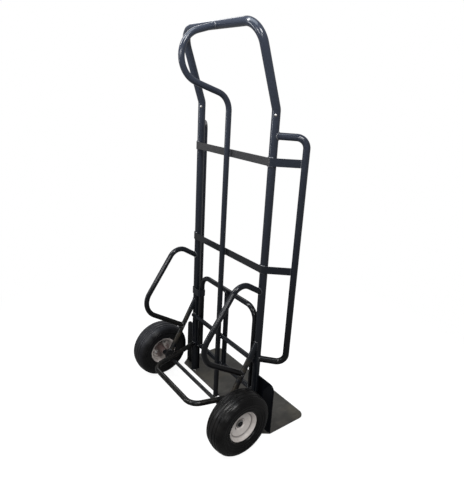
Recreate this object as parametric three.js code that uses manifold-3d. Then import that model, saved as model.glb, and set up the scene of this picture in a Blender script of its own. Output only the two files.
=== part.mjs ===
// A wide-frame hand truck with a D-grip, load wings, rear skid loops, a fold-down nose
// extension and two pneumatic wheels. Millimetres, +X to the operator's right, +Y towards
// the toe plate, +Z up. The truck stands upright with its origin at the middle of its base.
import * as THREE from "three";
import { mergeVertices } from "three/addons/utils/BufferGeometryUtils.js";
import Module from "manifold-3d";

// ---------------------------------------------------------------- driving dimensions
const GAP = 0.3; // clearance between pieces that touch
const WALL = 2; // wall of every bent tube

const RAIL_SPACING = 451; // between the two rail axes
const RAIL_RADIUS = 15;
const RAIL_TOP = 1260;

const HANDLE_LEAN = THREE.MathUtils.degToRad(20.2); // how far the handle bends back
const HANDLE_NECK = 0.5; // straight length between the rail's top and the bend
const HANDLE_BEND_RADIUS = 38;
const HANDLE_RISE = 261; // from the bend's corner up to the top bar
const HANDLE_CORNER_RADIUS = 70;
const SPIGOT_LENGTH = 42; // how far the handle plugs into each rail
const RIVET_BELOW_TOP = 10.5;
const RIVET_TURN = THREE.MathUtils.degToRad(45); // the rivets point rearwards and to the right
const RIVET_RADIUS = 4;
const RIVET_HEAD_RADIUS = 7;
const RIVET_HEAD_HEIGHT = 3.2;

const CENTRE_RADIUS = 11;
const GRIP_BACK = 343; // from the top bar back to where the grip's two straight runs would meet
const GRIP_DROP = 106; // and down to the same point
const GRIP_BEND_RADIUS = 86;
const SHOULDER_DROP = 232.5; // from the top bar down to where the grip's lower run turns down
const SHOULDER_RADIUS = 68;

const STRAP_THICKNESS = 3;
const STRAP_HEIGHT = 29;
const UPPER_STRAP_Z = 1094.5;
const LOWER_STRAP_Z = 698.5;

const WING_RADIUS = 12.5;
const WING_OUT = 84.5; // from the rail axis outwards to the wing's upright
const WING_FORWARD = 74.5;
const WING_TOP_Z = 1181.5;
const WING_TOP_CORNER = 36;
const WING_BOTTOM_Z = 312;
const WING_BOTTOM_CORNER = 40;

const CROSS_RADIUS = 10;
const CROSS_NOTCH = 6; // how deep it is notched over the centre tube
const CROSS_Z = 306;

const LOOP_RADIUS = 11; // skid loops, axle struts and step loop
const SKID_START_Z = 599.5;
const SKID_TOP_BACK = 110; // the skid loop's upper corner, behind the rail
const SKID_TOP_Z = 667;
const SKID_TOP_CORNER = 54;
const SKID_REAR_BACK = 287; // its rear corner, behind the rail
const SKID_REAR_Z = 400.5;
const SKID_REAR_CORNER = 78;
const SKID_FOOT_Z = 266; // where it lands on the axle strut
const STRUT_TOP_Z = 396;
const STEP_OVER_AXLE = 2; // clear height between the axle and the step loop
const STEP_BACK = 112.5; // the step loop's rear bar, behind the axle
const STEP_HALF_WIDTH = 151;
const STEP_CORNER = 55;

const AXLE_RADIUS = 8;
const AXLE_SETBACK = 145; // axle behind the rail axes
const AXLE_STUB = 5; // how far the axle stands out of its washer
const GROOVE_DEPTH = 1.5;
const GROOVE_WIDTH = 2;
const WASHER_THICKNESS = 2;
const WASHER_RADIUS = 13.5;
const RING_THICKNESS = 1.5;
const RING_RADIUS = 11;
const SPACER_LENGTH = 32.5;
const SPACER_RADIUS = 12;
const LUG_THICKNESS = 8;
const LUG_RADIUS = 17;
const LUG_REACH = 30; // from the axle's axis to the strut's cut end

const TYRE_RADIUS = 128.5;
const TYRE_WIDTH = 96;
const TYRE_WALL = 7;
const TREAD_DEPTH = 4;
const RIM_RADIUS = 63;
const RIM_WIDTH = 71;
const RIM_SHEET = 2.5;
const SEAT_RADIUS = 56; // where the tyre's beads sit
const CREASE_RADIUS = 49; // where the outer rim's flank turns into its disc
const CREASE_OUT = 19; // that crease, outboard of the tyre's middle plane
const DISC_OUT = 14.5; // the outer rim's disc where it turns down into the well
const WELL_RADIUS = 24; // that turn, round the hub
const WEB_OUT = 7; // the outer rim where it meets the hub, at the bottom of the well
const MEETING_OUT = 12; // where the two rim halves meet under the tyre
const HUB_RADIUS = 15;
const HUB_WALL = 2.5;
const HUB_OUT = 12;
const HUB_IN = 45;
const BEARING_LENGTH = 10;
const RIM_BOLT_CIRCLE = 31;
const RIM_BOLTS = 4;
const STUD_RADIUS = 3;
const NUT_RADIUS = 6.5;
const NUT_HEIGHT = 5;
const VALVE_RADIUS = 4;
const VALVE_IN = 11; // the valve, inboard of the tyre's middle plane
const WHEEL_SIDES = 24;

const TOE_THICKNESS = 5;
const TOE_FRONT = 218.5; // front edge ahead of the rail axes
const TOE_WIDTH = 640;
const TOE_CORNER_RADIUS = 31;
const TOE_CUT_INWARD = 27; // heel corners cut away beside the tyres
const TOE_CUT_FORWARD = 37;
const BRACKET_THICKNESS = 5.5;
const BRACKET_TOP_Z = 225;
const BRACKET_INSET = 12; // inner edge inboard of the rail axis
const BRACKET_MARGIN = 1; // outer edge inside the toe plate's edge
const BRACKET_CORNER_RADIUS = 24;

const NOSE_RADIUS = 11;
const NOSE_CLEARANCE = 0.5; // between the nose extension and the lower cross tube
const NOSE_SIDE_CLEARANCE = 5.6; // between a nose leg and its lug
const NOSE_HINGE_Z = 150;
const NOSE_LENGTH = 364; // from the pivot to the top bar
const NOSE_CORNER_RADIUS = 53;
const NOSE_PIN_RADIUS = 4;
const NOSE_PIN_DEPTH = 22;
const NOSE_LUG_THICKNESS = 4;
const NOSE_LUG_BACK = 8; // the lug's tail behind the rail axis
const NOSE_LUG_RADIUS = 11.5;
const CATCH_Z = 432;
const CATCH_HEIGHT = 30;
const CATCH_BEND = 12;
const CATCH_REACH = 7; // how far the catch's arm passes the nose leg's axis

// ---------------------------------------------------------------- derived dimensions
const RAIL_X = RAIL_SPACING / 2;
const RAIL_FOOT = TOE_THICKNESS + GAP;
const HANDLE_FOOT = RAIL_TOP + GAP;
const HANDLE_BEND_Z = HANDLE_FOOT + HANDLE_NECK + HANDLE_BEND_RADIUS * Math.tan(HANDLE_LEAN / 2);
const HANDLE_TOP_Z = HANDLE_BEND_Z + HANDLE_RISE;
const HANDLE_TOP_Y = -HANDLE_RISE * Math.tan(HANDLE_LEAN);
const RIVET_Z = RAIL_TOP - RIVET_BELOW_TOP;
const STRAP_INNER = RAIL_RADIUS + GAP;
const STRAP_OUTER = STRAP_INNER + STRAP_THICKNESS;
const CENTRE_Y = -(STRAP_OUTER + GAP + CENTRE_RADIUS);
const CROSS_Y = CENTRE_Y + CENTRE_RADIUS - CROSS_NOTCH + CROSS_RADIUS;
const NOSE_Y = CROSS_Y + CROSS_RADIUS + NOSE_CLEARANCE + NOSE_RADIUS;
const NOSE_TOP_Z = NOSE_HINGE_Z + NOSE_LENGTH;
const TOE_HEEL = STRAP_OUTER;
const TOE_HALF_WIDTH = TOE_WIDTH / 2;
const BRACKET_Y = RAIL_RADIUS + GAP;
const WING_X = RAIL_X + WING_OUT;
const AXLE = new THREE.Vector3(0, -AXLE_SETBACK, TYRE_RADIUS);
const STEP_Z = AXLE.z + AXLE_RADIUS + STEP_OVER_AXLE + LOOP_RADIUS;
const SPACER_IN = RAIL_X + LUG_THICKNESS / 2 + GAP;
const SPACER_OUT = SPACER_IN + SPACER_LENGTH;
const WHEEL_X = SPACER_OUT + GAP + HUB_IN;
const WASHER_IN = WHEEL_X + HUB_OUT + GAP;
const WASHER_OUT = WASHER_IN + WASHER_THICKNESS;
const AXLE_END = WASHER_OUT + AXLE_STUB;
const NOSE_LUG_OUT = RAIL_X - RAIL_RADIUS - GAP; // the lugs lie against the rails' inner sides
const NOSE_LUG_IN = NOSE_LUG_OUT - NOSE_LUG_THICKNESS;
const HINGE_BAR_END = NOSE_LUG_IN - GAP;
const NOSE_HALF_WIDTH = NOSE_LUG_IN - NOSE_SIDE_CLEARANCE - NOSE_RADIUS;

// ---------------------------------------------------------------- materials
const paint = new THREE.MeshStandardMaterial({ color: 0x17181b, roughness: 0.32, metalness: 0.1 });
const toePaint = new THREE.MeshStandardMaterial({ color: 0x3a3a38, roughness: 0.6, metalness: 0.1 });
const steel = new THREE.MeshStandardMaterial({ color: 0xa9a9a8, roughness: 0.35, metalness: 0.9 });
const rimPaint = new THREE.MeshStandardMaterial({ color: 0xcfcac8, roughness: 0.4, metalness: 0.1 });
const rubber = new THREE.MeshStandardMaterial({ color: 0x1c1c1d, roughness: 0.7, metalness: 0 });

// ---------------------------------------------------------------- solids
const wasm = await Module();
wasm.setup();

function toSolid(geometry) {
  const bare = geometry.clone();
  bare.deleteAttribute("normal");
  bare.deleteAttribute("uv");
  const merged = mergeVertices(bare, 1e-4);
  const vertProperties = new Float32Array(merged.attributes.position.array);
  const triVerts = new Uint32Array(merged.index.array);
  return new wasm.Manifold(new wasm.Mesh({ numProp: 3, vertProperties, triVerts }));
}

function toGeometry(solid) {
  const mesh = solid.getMesh();
  const geometry = new THREE.BufferGeometry();
  geometry.setAttribute("position", new THREE.Float32BufferAttribute(mesh.vertProperties, 3));
  geometry.setIndex(new THREE.Uint32BufferAttribute(mesh.triVerts, 1));
  geometry.computeVertexNormals();
  return geometry;
}

function cut(geometry, ...tools) {
  const solid = tools.reduce((rest, tool) => rest.subtract(toSolid(tool)), toSolid(geometry));
  return toGeometry(solid);
}

function join(...geometries) {
  return toGeometry(geometries.map(toSolid).reduce((all, next) => all.add(next)));
}

// A revolved piece: profile points are [radius, place along the axis].
function turned(profile, axis, sides) {
  const points = profile.map(([radius, along]) => new THREE.Vector2(radius, along));
  const geometry = new THREE.LatheGeometry(points, sides);
  if (axis === "x") geometry.rotateZ(-Math.PI / 2);
  if (axis === "z") geometry.rotateX(Math.PI / 2);
  return geometry;
}

function ring(inner, outer, from, to, axis, sides) {
  return turned([[inner, from], [outer, from], [outer, to], [inner, to], [inner, from]], axis, sides);
}

function rod(radius, from, to, axis, sides) {
  return turned([[0, from], [radius, from], [radius, to], [0, to]], axis, sides);
}

function circle(radius, sides, cx = 0) {
  const turn = (2 * Math.PI) / sides;
  return Array.from({ length: sides }, (_, i) =>
    new THREE.Vector2(cx + radius * Math.cos(i * turn), radius * Math.sin(i * turn)));
}

// A tube's centre line: straight runs joined by round bends. It has a station at each end of
// every run and along every bend, so a straight run takes no needless facets.
class BentLine extends THREE.Curve {
  constructor(corners, bends, stepDegrees = 30) {
    super();
    this.stations = [];
    const run = (i) => corners[i + 1].clone().sub(corners[i]).normalize();
    this.addStation(corners[0], run(0));
    for (let i = 1; i < corners.length - 1; i++) {
      this.addBend(corners[i], run(i - 1), run(i), bends[i - 1], stepDegrees);
    }
    this.addStation(corners[corners.length - 1], run(corners.length - 2));
  }

  addStation(point, tangent) {
    this.stations.push({ point: point.clone(), tangent: tangent.clone() });
  }

  addBend(corner, arriving, leaving, radius, stepDegrees) {
    const turn = arriving.angleTo(leaving);
    const inward = leaving.clone().addScaledVector(arriving, -Math.cos(turn)).normalize();
    const start = corner.clone().addScaledVector(arriving, -radius * Math.tan(turn / 2));
    const steps = Math.max(2, Math.ceil(THREE.MathUtils.radToDeg(turn) / stepDegrees));
    for (let i = 0; i <= steps; i++) {
      const angle = (turn * i) / steps;
      const point = start.clone()
        .addScaledVector(arriving, radius * Math.sin(angle))
        .addScaledVector(inward, radius * (1 - Math.cos(angle)));
      const tangent = arriving.clone().multiplyScalar(Math.cos(angle))
        .addScaledVector(inward, Math.sin(angle));
      this.addStation(point, tangent);
    }
  }

  station(u) {
    return this.stations[Math.round(u * (this.stations.length - 1))];
  }

  getPointAt(u) {
    return this.station(u).point.clone();
  }

  getTangentAt(u) {
    return this.station(u).tangent.clone();
  }
}

function bentTube(corners, bends, radius, sides = 12) {
  const line = new BentLine(corners, bends);
  const section = new THREE.Shape(circle(radius, sides));
  section.holes.push(new THREE.Path(circle(radius - WALL, Math.ceil(sides / 2))));
  const steps = line.stations.length - 1;
  return new THREE.ExtrudeGeometry(section, { steps, extrudePath: line });
}

// The space one rail takes, with clearance: a tube that meets the rail is fish-mouthed by it.
function railSpace(side) {
  const space = rod(RAIL_RADIUS + GAP, 0, HANDLE_TOP_Z, "z", 20);
  return space.translate(side * RAIL_X, 0, 0);
}

function plate(outline, thickness, holes = []) {
  const shape = new THREE.Shape(outline);
  holes.forEach((hole) => shape.holes.push(new THREE.Path(hole)));
  return new THREE.ExtrudeGeometry(shape, { depth: thickness, bevelEnabled: false });
}

// Points along an arc, both ends included, angles in degrees.
function arc(cx, cy, radius, fromDegrees, toDegrees, steps = 6) {
  return Array.from({ length: steps + 1 }, (_, i) => {
    const angle = THREE.MathUtils.degToRad(fromDegrees + ((toDegrees - fromDegrees) * i) / steps);
    return new THREE.Vector2(cx + radius * Math.cos(angle), cy + radius * Math.sin(angle));
  });
}

const vec = (x, y, z) => new THREE.Vector3(x, y, z);
const SIDES = [["left", -1], ["right", 1]];

// ---------------------------------------------------------------- rails and handle
function rail(side) {
  const tube = ring(RAIL_RADIUS - WALL, RAIL_RADIUS, RAIL_FOOT, RAIL_TOP, "z", 16);
  return cut(tube, rivetSpace()).translate(side * RAIL_X, 0, 0);
}

// One bent tube, with a thinner spigot at each end that plugs into a rail and is riveted there.
function handleLoop() {
  const half = (side) => [
    vec(side * RAIL_X, 0, HANDLE_FOOT),
    vec(side * RAIL_X, 0, HANDLE_BEND_Z),
    vec(side * RAIL_X, HANDLE_TOP_Y, HANDLE_TOP_Z),
  ];
  const corners = [...half(-1), ...half(1).reverse()];
  const bends = [HANDLE_BEND_RADIUS, HANDLE_CORNER_RADIUS, HANDLE_CORNER_RADIUS, HANDLE_BEND_RADIUS];
  const loop = bentTube(corners, bends, RAIL_RADIUS);
  const bore = RAIL_RADIUS - WALL;
  const outer = bore - GAP;
  const inner = outer - WALL;
  const profile = [
    [inner, HANDLE_FOOT - SPIGOT_LENGTH], [outer, HANDLE_FOOT - SPIGOT_LENGTH], [outer, HANDLE_FOOT],
    [bore + WALL / 2, HANDLE_FOOT + WALL], [bore + WALL / 2, HANDLE_FOOT + 2 * WALL],
    [inner, HANDLE_FOOT + 2 * WALL], [inner, HANDLE_FOOT - SPIGOT_LENGTH],
  ];
  const spigot = cut(turned(profile, "z", 14), rivetSpace());
  return join(loop, ...SIDES.map(([, side]) => spigot.clone().translate(side * RAIL_X, 0, 0)));
}

function rivetSpace() {
  const space = rod(RIVET_RADIUS + GAP, -2 * RAIL_RADIUS, 2 * RAIL_RADIUS, "y", 10);
  return space.rotateZ(RIVET_TURN).translate(0, 0, RIVET_Z);
}

function handleRivet(side) {
  const seat = RAIL_RADIUS + GAP;
  const top = seat + RIVET_HEAD_HEIGHT;
  const head = (sign) => [
    [RIVET_HEAD_RADIUS, sign * seat], [0.8 * RIVET_HEAD_RADIUS, sign * (top - 1)], [0, sign * top],
  ];
  const shank = [[RIVET_RADIUS, -seat], [RIVET_RADIUS, seat]];
  const profile = [...head(-1).reverse(), ...shank, ...head(1)];
  return turned(profile, "y", 8).rotateZ(RIVET_TURN).translate(side * RAIL_X, 0, RIVET_Z);
}

// The middle tube: from the top bar it loops back as a grip, then runs down to the toe plate.
function centreTube() {
  const corners = [
    vec(0, HANDLE_TOP_Y, HANDLE_TOP_Z),
    vec(0, HANDLE_TOP_Y - GRIP_BACK, HANDLE_TOP_Z - GRIP_DROP),
    vec(0, CENTRE_Y, HANDLE_TOP_Z - SHOULDER_DROP),
    vec(0, CENTRE_Y, RAIL_FOOT),
  ];
  const tube = bentTube(corners, [GRIP_BEND_RADIUS, SHOULDER_RADIUS], CENTRE_RADIUS);
  const topBar = rod(RAIL_RADIUS + GAP, -2 * CENTRE_RADIUS, 2 * CENTRE_RADIUS, "x", 24);
  return cut(tube, topBar.translate(0, HANDLE_TOP_Y, HANDLE_TOP_Z));
}

// ---------------------------------------------------------------- straps and wings
// A flat bar across the back of the rails. It wraps each rail and its two arms reach
// forward to the wings' uprights, each arm square to the upright that it meets.
function strap(z) {
  const middle = (STRAP_INNER + STRAP_OUTER) / 2;
  const reach = Math.hypot(WING_OUT, WING_FORWARD);
  const lean = Math.atan2(WING_FORWARD, WING_OUT) + Math.asin(middle / reach);
  const armLength = Math.sqrt(reach ** 2 - middle ** 2) - WING_RADIUS - GAP;
  const along = new THREE.Vector2(Math.cos(lean), Math.sin(lean));
  const face = (radius) => {
    const wrap = arc(RAIL_X, 0, radius, -90, THREE.MathUtils.radToDeg(lean) - 90, 5);
    const end = wrap[wrap.length - 1].clone().addScaledVector(along, armLength);
    const right = [...wrap, end];
    const left = right.map((p) => new THREE.Vector2(-p.x, p.y)).reverse();
    return [...left, ...right];
  };
  const outline = [...face(STRAP_OUTER), ...face(STRAP_INNER).reverse()];
  return plate(outline, STRAP_HEIGHT).translate(0, 0, z - STRAP_HEIGHT / 2);
}

function wing(side) {
  const inner = (z) => vec(side * RAIL_X, 0, z);
  const outer = (z) => vec(side * WING_X, WING_FORWARD, z);
  const corners = [inner(WING_TOP_Z), outer(WING_TOP_Z), outer(WING_BOTTOM_Z), inner(WING_BOTTOM_Z)];
  const tube = bentTube(corners, [WING_TOP_CORNER, WING_BOTTOM_CORNER], WING_RADIUS);
  return cut(tube, railSpace(side));
}

// It is notched over the front of the centre tube and butts on the rails.
function crossTube() {
  const tube = ring(CROSS_RADIUS - WALL, CROSS_RADIUS, -RAIL_X, RAIL_X, "x", 12);
  tube.translate(0, CROSS_Y, CROSS_Z);
  const notch = rod(CENTRE_RADIUS + GAP, CROSS_Z - 2 * CROSS_RADIUS, CROSS_Z + 2 * CROSS_RADIUS, "z", 16);
  return cut(tube, railSpace(-1), railSpace(1), notch.translate(0, CENTRE_Y, 0));
}

// ---------------------------------------------------------------- running gear frame
const strutTop = (side) => vec(side * RAIL_X, 0, STRUT_TOP_Z);
const strutFoot = (side) => vec(side * RAIL_X, AXLE.y, AXLE.z);

function strutDirection() {
  return strutFoot(1).sub(strutTop(1)).normalize();
}

function axleStrut(side) {
  const end = strutFoot(side).addScaledVector(strutDirection(), -LUG_REACH);
  return cut(bentTube([strutTop(side), end], [], LOOP_RADIUS), railSpace(side));
}

// A straight rod between two points, used as the space that a tube takes.
function rodBetween(from, to, radius) {
  const length = from.distanceTo(to);
  const straight = rod(radius, 0, length, "y", 16);
  const turn = new THREE.Quaternion().setFromUnitVectors(vec(0, 1, 0), to.clone().sub(from).normalize());
  return straight.applyQuaternion(turn).translate(from.x, from.y, from.z);
}

// The skid loop: out of the rail, round the top, down the back and in to the axle strut.
function rearLoop(side) {
  const x = side * RAIL_X;
  const share = (STRUT_TOP_Z - SKID_FOOT_Z) / (STRUT_TOP_Z - AXLE.z);
  const corners = [
    vec(x, 0, SKID_START_Z), vec(x, -SKID_TOP_BACK, SKID_TOP_Z),
    vec(x, -SKID_REAR_BACK, SKID_REAR_Z), strutTop(side).lerp(strutFoot(side), share),
  ];
  const tube = bentTube(corners, [SKID_TOP_CORNER, SKID_REAR_CORNER], LOOP_RADIUS);
  const strutSpace = rodBetween(strutTop(side), strutFoot(side), LOOP_RADIUS + 1.5 * GAP);
  return cut(tube, railSpace(side), strutSpace);
}

// The step loop: from one rail back over the axle, across and forward to the other rail.
function stepLoop() {
  const rear = AXLE.y - STEP_BACK;
  const corners = [
    vec(-RAIL_X, 0, STEP_Z), vec(-STEP_HALF_WIDTH, rear, STEP_Z),
    vec(STEP_HALF_WIDTH, rear, STEP_Z), vec(RAIL_X, 0, STEP_Z),
  ];
  const tube = bentTube(corners, [STEP_CORNER, STEP_CORNER], LOOP_RADIUS);
  return cut(tube, railSpace(-1), railSpace(1));
}

// The lug that carries the axle: round about the axle, square to the strut's cut end.
function axleLug(side) {
  const up = strutDirection().negate();
  const tilt = THREE.MathUtils.radToDeg(Math.atan2(up.z, up.y));
  const shoulder = (sign) => new THREE.Vector2(
    up.y * (LUG_REACH - GAP) - sign * up.z * LUG_RADIUS,
    up.z * (LUG_REACH - GAP) + sign * up.y * LUG_RADIUS,
  );
  const outline = [...arc(0, 0, LUG_RADIUS, tilt + 90, tilt + 270, 10), shoulder(-1), shoulder(1)];
  const lug = plate(outline, LUG_THICKNESS, [circle(AXLE_RADIUS + GAP, 16).reverse()]);
  lug.applyMatrix4(new THREE.Matrix4().makeBasis(vec(0, 1, 0), vec(0, 0, 1), vec(1, 0, 0)));
  return lug.translate(side * RAIL_X - LUG_THICKNESS / 2, AXLE.y, AXLE.z);
}

// Solid bar with a groove near each end for its retaining ring.
function axle() {
  const inner = WASHER_OUT + GAP;
  const outer = inner + GROOVE_WIDTH;
  const floor = AXLE_RADIUS - GROOVE_DEPTH;
  const half = (sign) => [
    [AXLE_RADIUS, sign * inner], [floor, sign * inner], [floor, sign * outer],
    [AXLE_RADIUS, sign * outer], [AXLE_RADIUS, sign * AXLE_END], [0, sign * AXLE_END],
  ];
  return onAxle(turned([...half(-1).reverse(), ...half(1)], "x", 16));
}

function onAxle(geometry) {
  return geometry.translate(0, AXLE.y, AXLE.z);
}

// A collar on the axle. Its span is given for the right side and mirrored for the left.
function axleCollar(side, inner, outer, from, to) {
  const [low, high] = side > 0 ? [from, to] : [-to, -from];
  return onAxle(ring(inner, outer, low, high, "x", 16));
}

// ---------------------------------------------------------------- toe plate
function toePlate() {
  const w = TOE_HALF_WIDTH;
  const r = TOE_CORNER_RADIUS;
  const right = [
    new THREE.Vector2(w - TOE_CUT_INWARD, -TOE_HEEL),
    new THREE.Vector2(w, -TOE_HEEL + TOE_CUT_FORWARD),
    ...arc(w - r, TOE_FRONT - r, r, 0, 90, 6),
  ];
  const left = right.map((p) => new THREE.Vector2(-p.x, p.y)).reverse();
  return plate([...right, ...left], TOE_THICKNESS);
}

// Upright plate on the front of a rail, welded down to the toe plate.
function toeBracket(side) {
  const r = BRACKET_CORNER_RADIUS;
  const inner = RAIL_X - BRACKET_INSET;
  const outer = TOE_HALF_WIDTH - BRACKET_MARGIN;
  const outline = [
    new THREE.Vector2(inner, RAIL_FOOT), new THREE.Vector2(outer, RAIL_FOOT),
    ...arc(outer - r, BRACKET_TOP_Z - r, r, 0, 90, 6), new THREE.Vector2(inner, BRACKET_TOP_Z),
  ];
  const mirrored = side > 0 ? outline : outline.map((p) => new THREE.Vector2(-p.x, p.y)).reverse();
  const upright = plate(mirrored, BRACKET_THICKNESS).rotateX(Math.PI / 2);
  return upright.translate(0, BRACKET_Y + BRACKET_THICKNESS, 0);
}

// ---------------------------------------------------------------- nose extension
function noseLoop() {
  const w = NOSE_HALF_WIDTH;
  const corners = [
    vec(-w, NOSE_Y, NOSE_HINGE_Z), vec(-w, NOSE_Y, NOSE_TOP_Z),
    vec(w, NOSE_Y, NOSE_TOP_Z), vec(w, NOSE_Y, NOSE_HINGE_Z),
  ];
  const tube = bentTube(corners, [NOSE_CORNER_RADIUS, NOSE_CORNER_RADIUS], NOSE_RADIUS, 12);
  return cut(tube, hingeSpace());
}

function hingeSpace() {
  const space = rod(NOSE_RADIUS + 1.5 * GAP, -RAIL_X, RAIL_X, "x", 16);
  return space.translate(0, NOSE_Y, NOSE_HINGE_Z);
}

function noseCentreBar() {
  const bar = ring(NOSE_RADIUS - WALL, NOSE_RADIUS, NOSE_HINGE_Z, NOSE_TOP_Z, "z", 12);
  bar.translate(0, NOSE_Y, 0);
  const topSpace = rod(NOSE_RADIUS + 1.5 * GAP, -2 * NOSE_RADIUS, 2 * NOSE_RADIUS, "x", 16);
  return cut(bar, hingeSpace(), topSpace.translate(0, NOSE_Y, NOSE_TOP_Z));
}

// Solid bar with a blind bore at each end for its pivot pin.
function noseHingeBar() {
  const bore = NOSE_PIN_RADIUS + GAP;
  const deep = HINGE_BAR_END - NOSE_PIN_DEPTH - 3;
  const profile = [
    [0, -deep], [bore, -deep], [bore, -HINGE_BAR_END], [NOSE_RADIUS, -HINGE_BAR_END],
    [NOSE_RADIUS, HINGE_BAR_END], [bore, HINGE_BAR_END], [bore, deep], [0, deep],
  ];
  return turned(profile, "x", 12).translate(0, NOSE_Y, NOSE_HINGE_Z);
}

// Ear on the inner side of a rail, rounded about the pivot.
function noseLug(side) {
  const tail = 1.25 * NOSE_LUG_RADIUS;
  const outline = [
    new THREE.Vector2(-NOSE_LUG_BACK, -tail), ...arc(NOSE_Y, 0, NOSE_LUG_RADIUS, -90, 90, 8),
    new THREE.Vector2(-NOSE_LUG_BACK, tail),
  ];
  const hole = circle(NOSE_PIN_RADIUS + GAP, 10, NOSE_Y).reverse();
  const ear = plate(outline, NOSE_LUG_THICKNESS, [hole]);
  ear.applyMatrix4(new THREE.Matrix4().makeBasis(vec(0, 1, 0), vec(0, 0, 1), vec(1, 0, 0)));
  return ear.translate(side > 0 ? NOSE_LUG_IN : -NOSE_LUG_OUT, 0, NOSE_HINGE_Z);
}

// Plain pin, kept in by the rail that its outer end meets.
function nosePin(side) {
  const tip = HINGE_BAR_END - NOSE_PIN_DEPTH;
  const profile = [
    [0, tip], [NOSE_PIN_RADIUS, tip], [NOSE_PIN_RADIUS, NOSE_LUG_OUT], [0, NOSE_LUG_OUT],
  ];
  const pin = turned(profile, "x", 10);
  if (side < 0) pin.rotateZ(Math.PI);
  return pin.translate(0, NOSE_Y, NOSE_HINGE_Z);
}

// Spring-steel catch: clips round the back of the left rail and hooks round the nose leg.
function noseCatch() {
  const hookX = -NOSE_HALF_WIDTH + NOSE_RADIUS + 2 * GAP;
  const face = (offset) => {
    const bend = CATCH_BEND + offset;
    return [
      ...arc(-RAIL_X, 0, STRAP_INNER + offset, 130, 270, 10),
      ...arc(hookX - CATCH_BEND, CATCH_BEND - STRAP_INNER, bend, -90, 0, 4),
      new THREE.Vector2(hookX + offset, NOSE_Y + CATCH_REACH),
    ];
  };
  const outline = [...face(STRAP_THICKNESS), ...face(0).reverse()];
  return plate(outline, CATCH_HEIGHT).translate(0, 0, CATCH_Z - CATCH_HEIGHT / 2);
}

// ---------------------------------------------------------------- wheels
// Every wheel piece is drawn about the X axis with +X outboard and x = 0 in the tyre's middle.
const wheelTurned = (profile) => turned(profile, "x", WHEEL_SIDES);

// Ribbed carcass, open towards the rim between its two beads.
function tyre() {
  const w = TYRE_WIDTH / 2;
  const crown = TYRE_RADIUS;
  const groove = crown - TREAD_DEPTH;
  const bead = SEAT_RADIUS + GAP;
  const lip = RIM_WIDTH / 2;
  const flange = RIM_RADIUS + 1.5;
  const beadEnd = lip - 4 - 2 * GAP;
  const half = [
    [bead, beadEnd - 9], [bead, beadEnd], [flange, lip - 5], [flange + 4, w - 5],
    [flange + 18, w - 1], [crown - 26, w - 1], [crown - 11, w - 8], [groove, 0.54 * w],
    [crown - 1, 0.48 * w], [crown, 0.26 * w], [groove, 0.2 * w],
  ];
  const liner = [
    [groove - 7, w / 2], [crown - 32, w - TYRE_WALL], [flange + 3.5, w - 2 * TYRE_WALL],
  ];
  const mirrored = (points) => points.map(([radius, x]) => [radius, -x]);
  const outside = [...mirrored(half), ...half.reverse()];
  const inside = [...liner.reverse(), ...mirrored(liner).reverse()];
  return wheelTurned([...outside, ...inside, outside[0]]);
}

// Rolled lip of either rim half, from the tyre side round to the open face.
function rimLip(lip) {
  const edge = RIM_RADIUS;
  return [
    [SEAT_RADIUS, lip - 4], [SEAT_RADIUS + 4, lip - RIM_SHEET], [edge, lip - RIM_SHEET],
    [edge, lip - 1], [edge - 1.5, lip], [edge - 4, lip], [SEAT_RADIUS - 2, lip - 5],
  ];
}

// Outer half: lip, bell-shaped flank, a crease, a dished disc and a well round the hub.
function outerRim() {
  const t = RIM_SHEET;
  const hub = HUB_RADIUS + GAP;
  const face = [
    [CREASE_RADIUS + 2, CREASE_OUT + 1], [CREASE_RADIUS - 1, CREASE_OUT],
    [WELL_RADIUS, DISC_OUT], [WELL_RADIUS - 3, WEB_OUT + t + 0.5], [hub, WEB_OUT + t],
  ];
  const back = [
    [hub, WEB_OUT], [WELL_RADIUS - 1, WEB_OUT + 0.5], [WELL_RADIUS + 2, DISC_OUT - t],
    [CREASE_RADIUS, CREASE_OUT - t],
    [SEAT_RADIUS - t, MEETING_OUT], [SEAT_RADIUS, MEETING_OUT],
  ];
  const lip = rimLip(RIM_WIDTH / 2);
  return wheelTurned([...lip, ...face, ...back, lip[0]]);
}

// Inner half: the same lip and flank, a flat web with the bolt holes and one for the valve.
function innerRim() {
  const t = RIM_SHEET;
  const hub = HUB_RADIUS + GAP;
  const web = WEB_OUT - GAP;
  const lip = rimLip(RIM_WIDTH / 2).map(([radius, x]) => [radius, -x]).reverse();
  const profile = [
    [hub, web - t], [SEAT_RADIUS - 7, web - t], [SEAT_RADIUS - 4, web - t - 4], ...lip,
    [SEAT_RADIUS, MEETING_OUT - GAP], [SEAT_RADIUS - t, web], [hub, web], [hub, web - t],
  ];
  const bolt = rod(STUD_RADIUS + GAP, -RIM_WIDTH, RIM_WIDTH, "x", 8).translate(0, RIM_BOLT_CIRCLE, 0);
  const holes = boltAngles().map((angle) => bolt.clone().rotateX(angle));
  const valve = rod(VALVE_RADIUS + GAP, RIM_BOLT_CIRCLE, RIM_RADIUS, "z", 8);
  return cut(wheelTurned(profile), ...holes, valve.translate(-VALVE_IN, 0, 0));
}

function boltAngles() {
  return Array.from({ length: RIM_BOLTS }, (_, i) => ((i + 0.5) * 2 * Math.PI) / RIM_BOLTS);
}

// Stud welded to the back of the outer half, with its hex nut against the inner half's web.
function rimBolt(angle) {
  const face = WEB_OUT - RIM_SHEET - 2 * GAP;
  const nut = rod(NUT_RADIUS, face - NUT_HEIGHT, face, "x", 6);
  const stud = rod(STUD_RADIUS, face - NUT_HEIGHT - 3, WEB_OUT + 2, "x", 8);
  return join(nut, stud).translate(0, RIM_BOLT_CIRCLE, 0).rotateX(angle);
}

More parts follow.
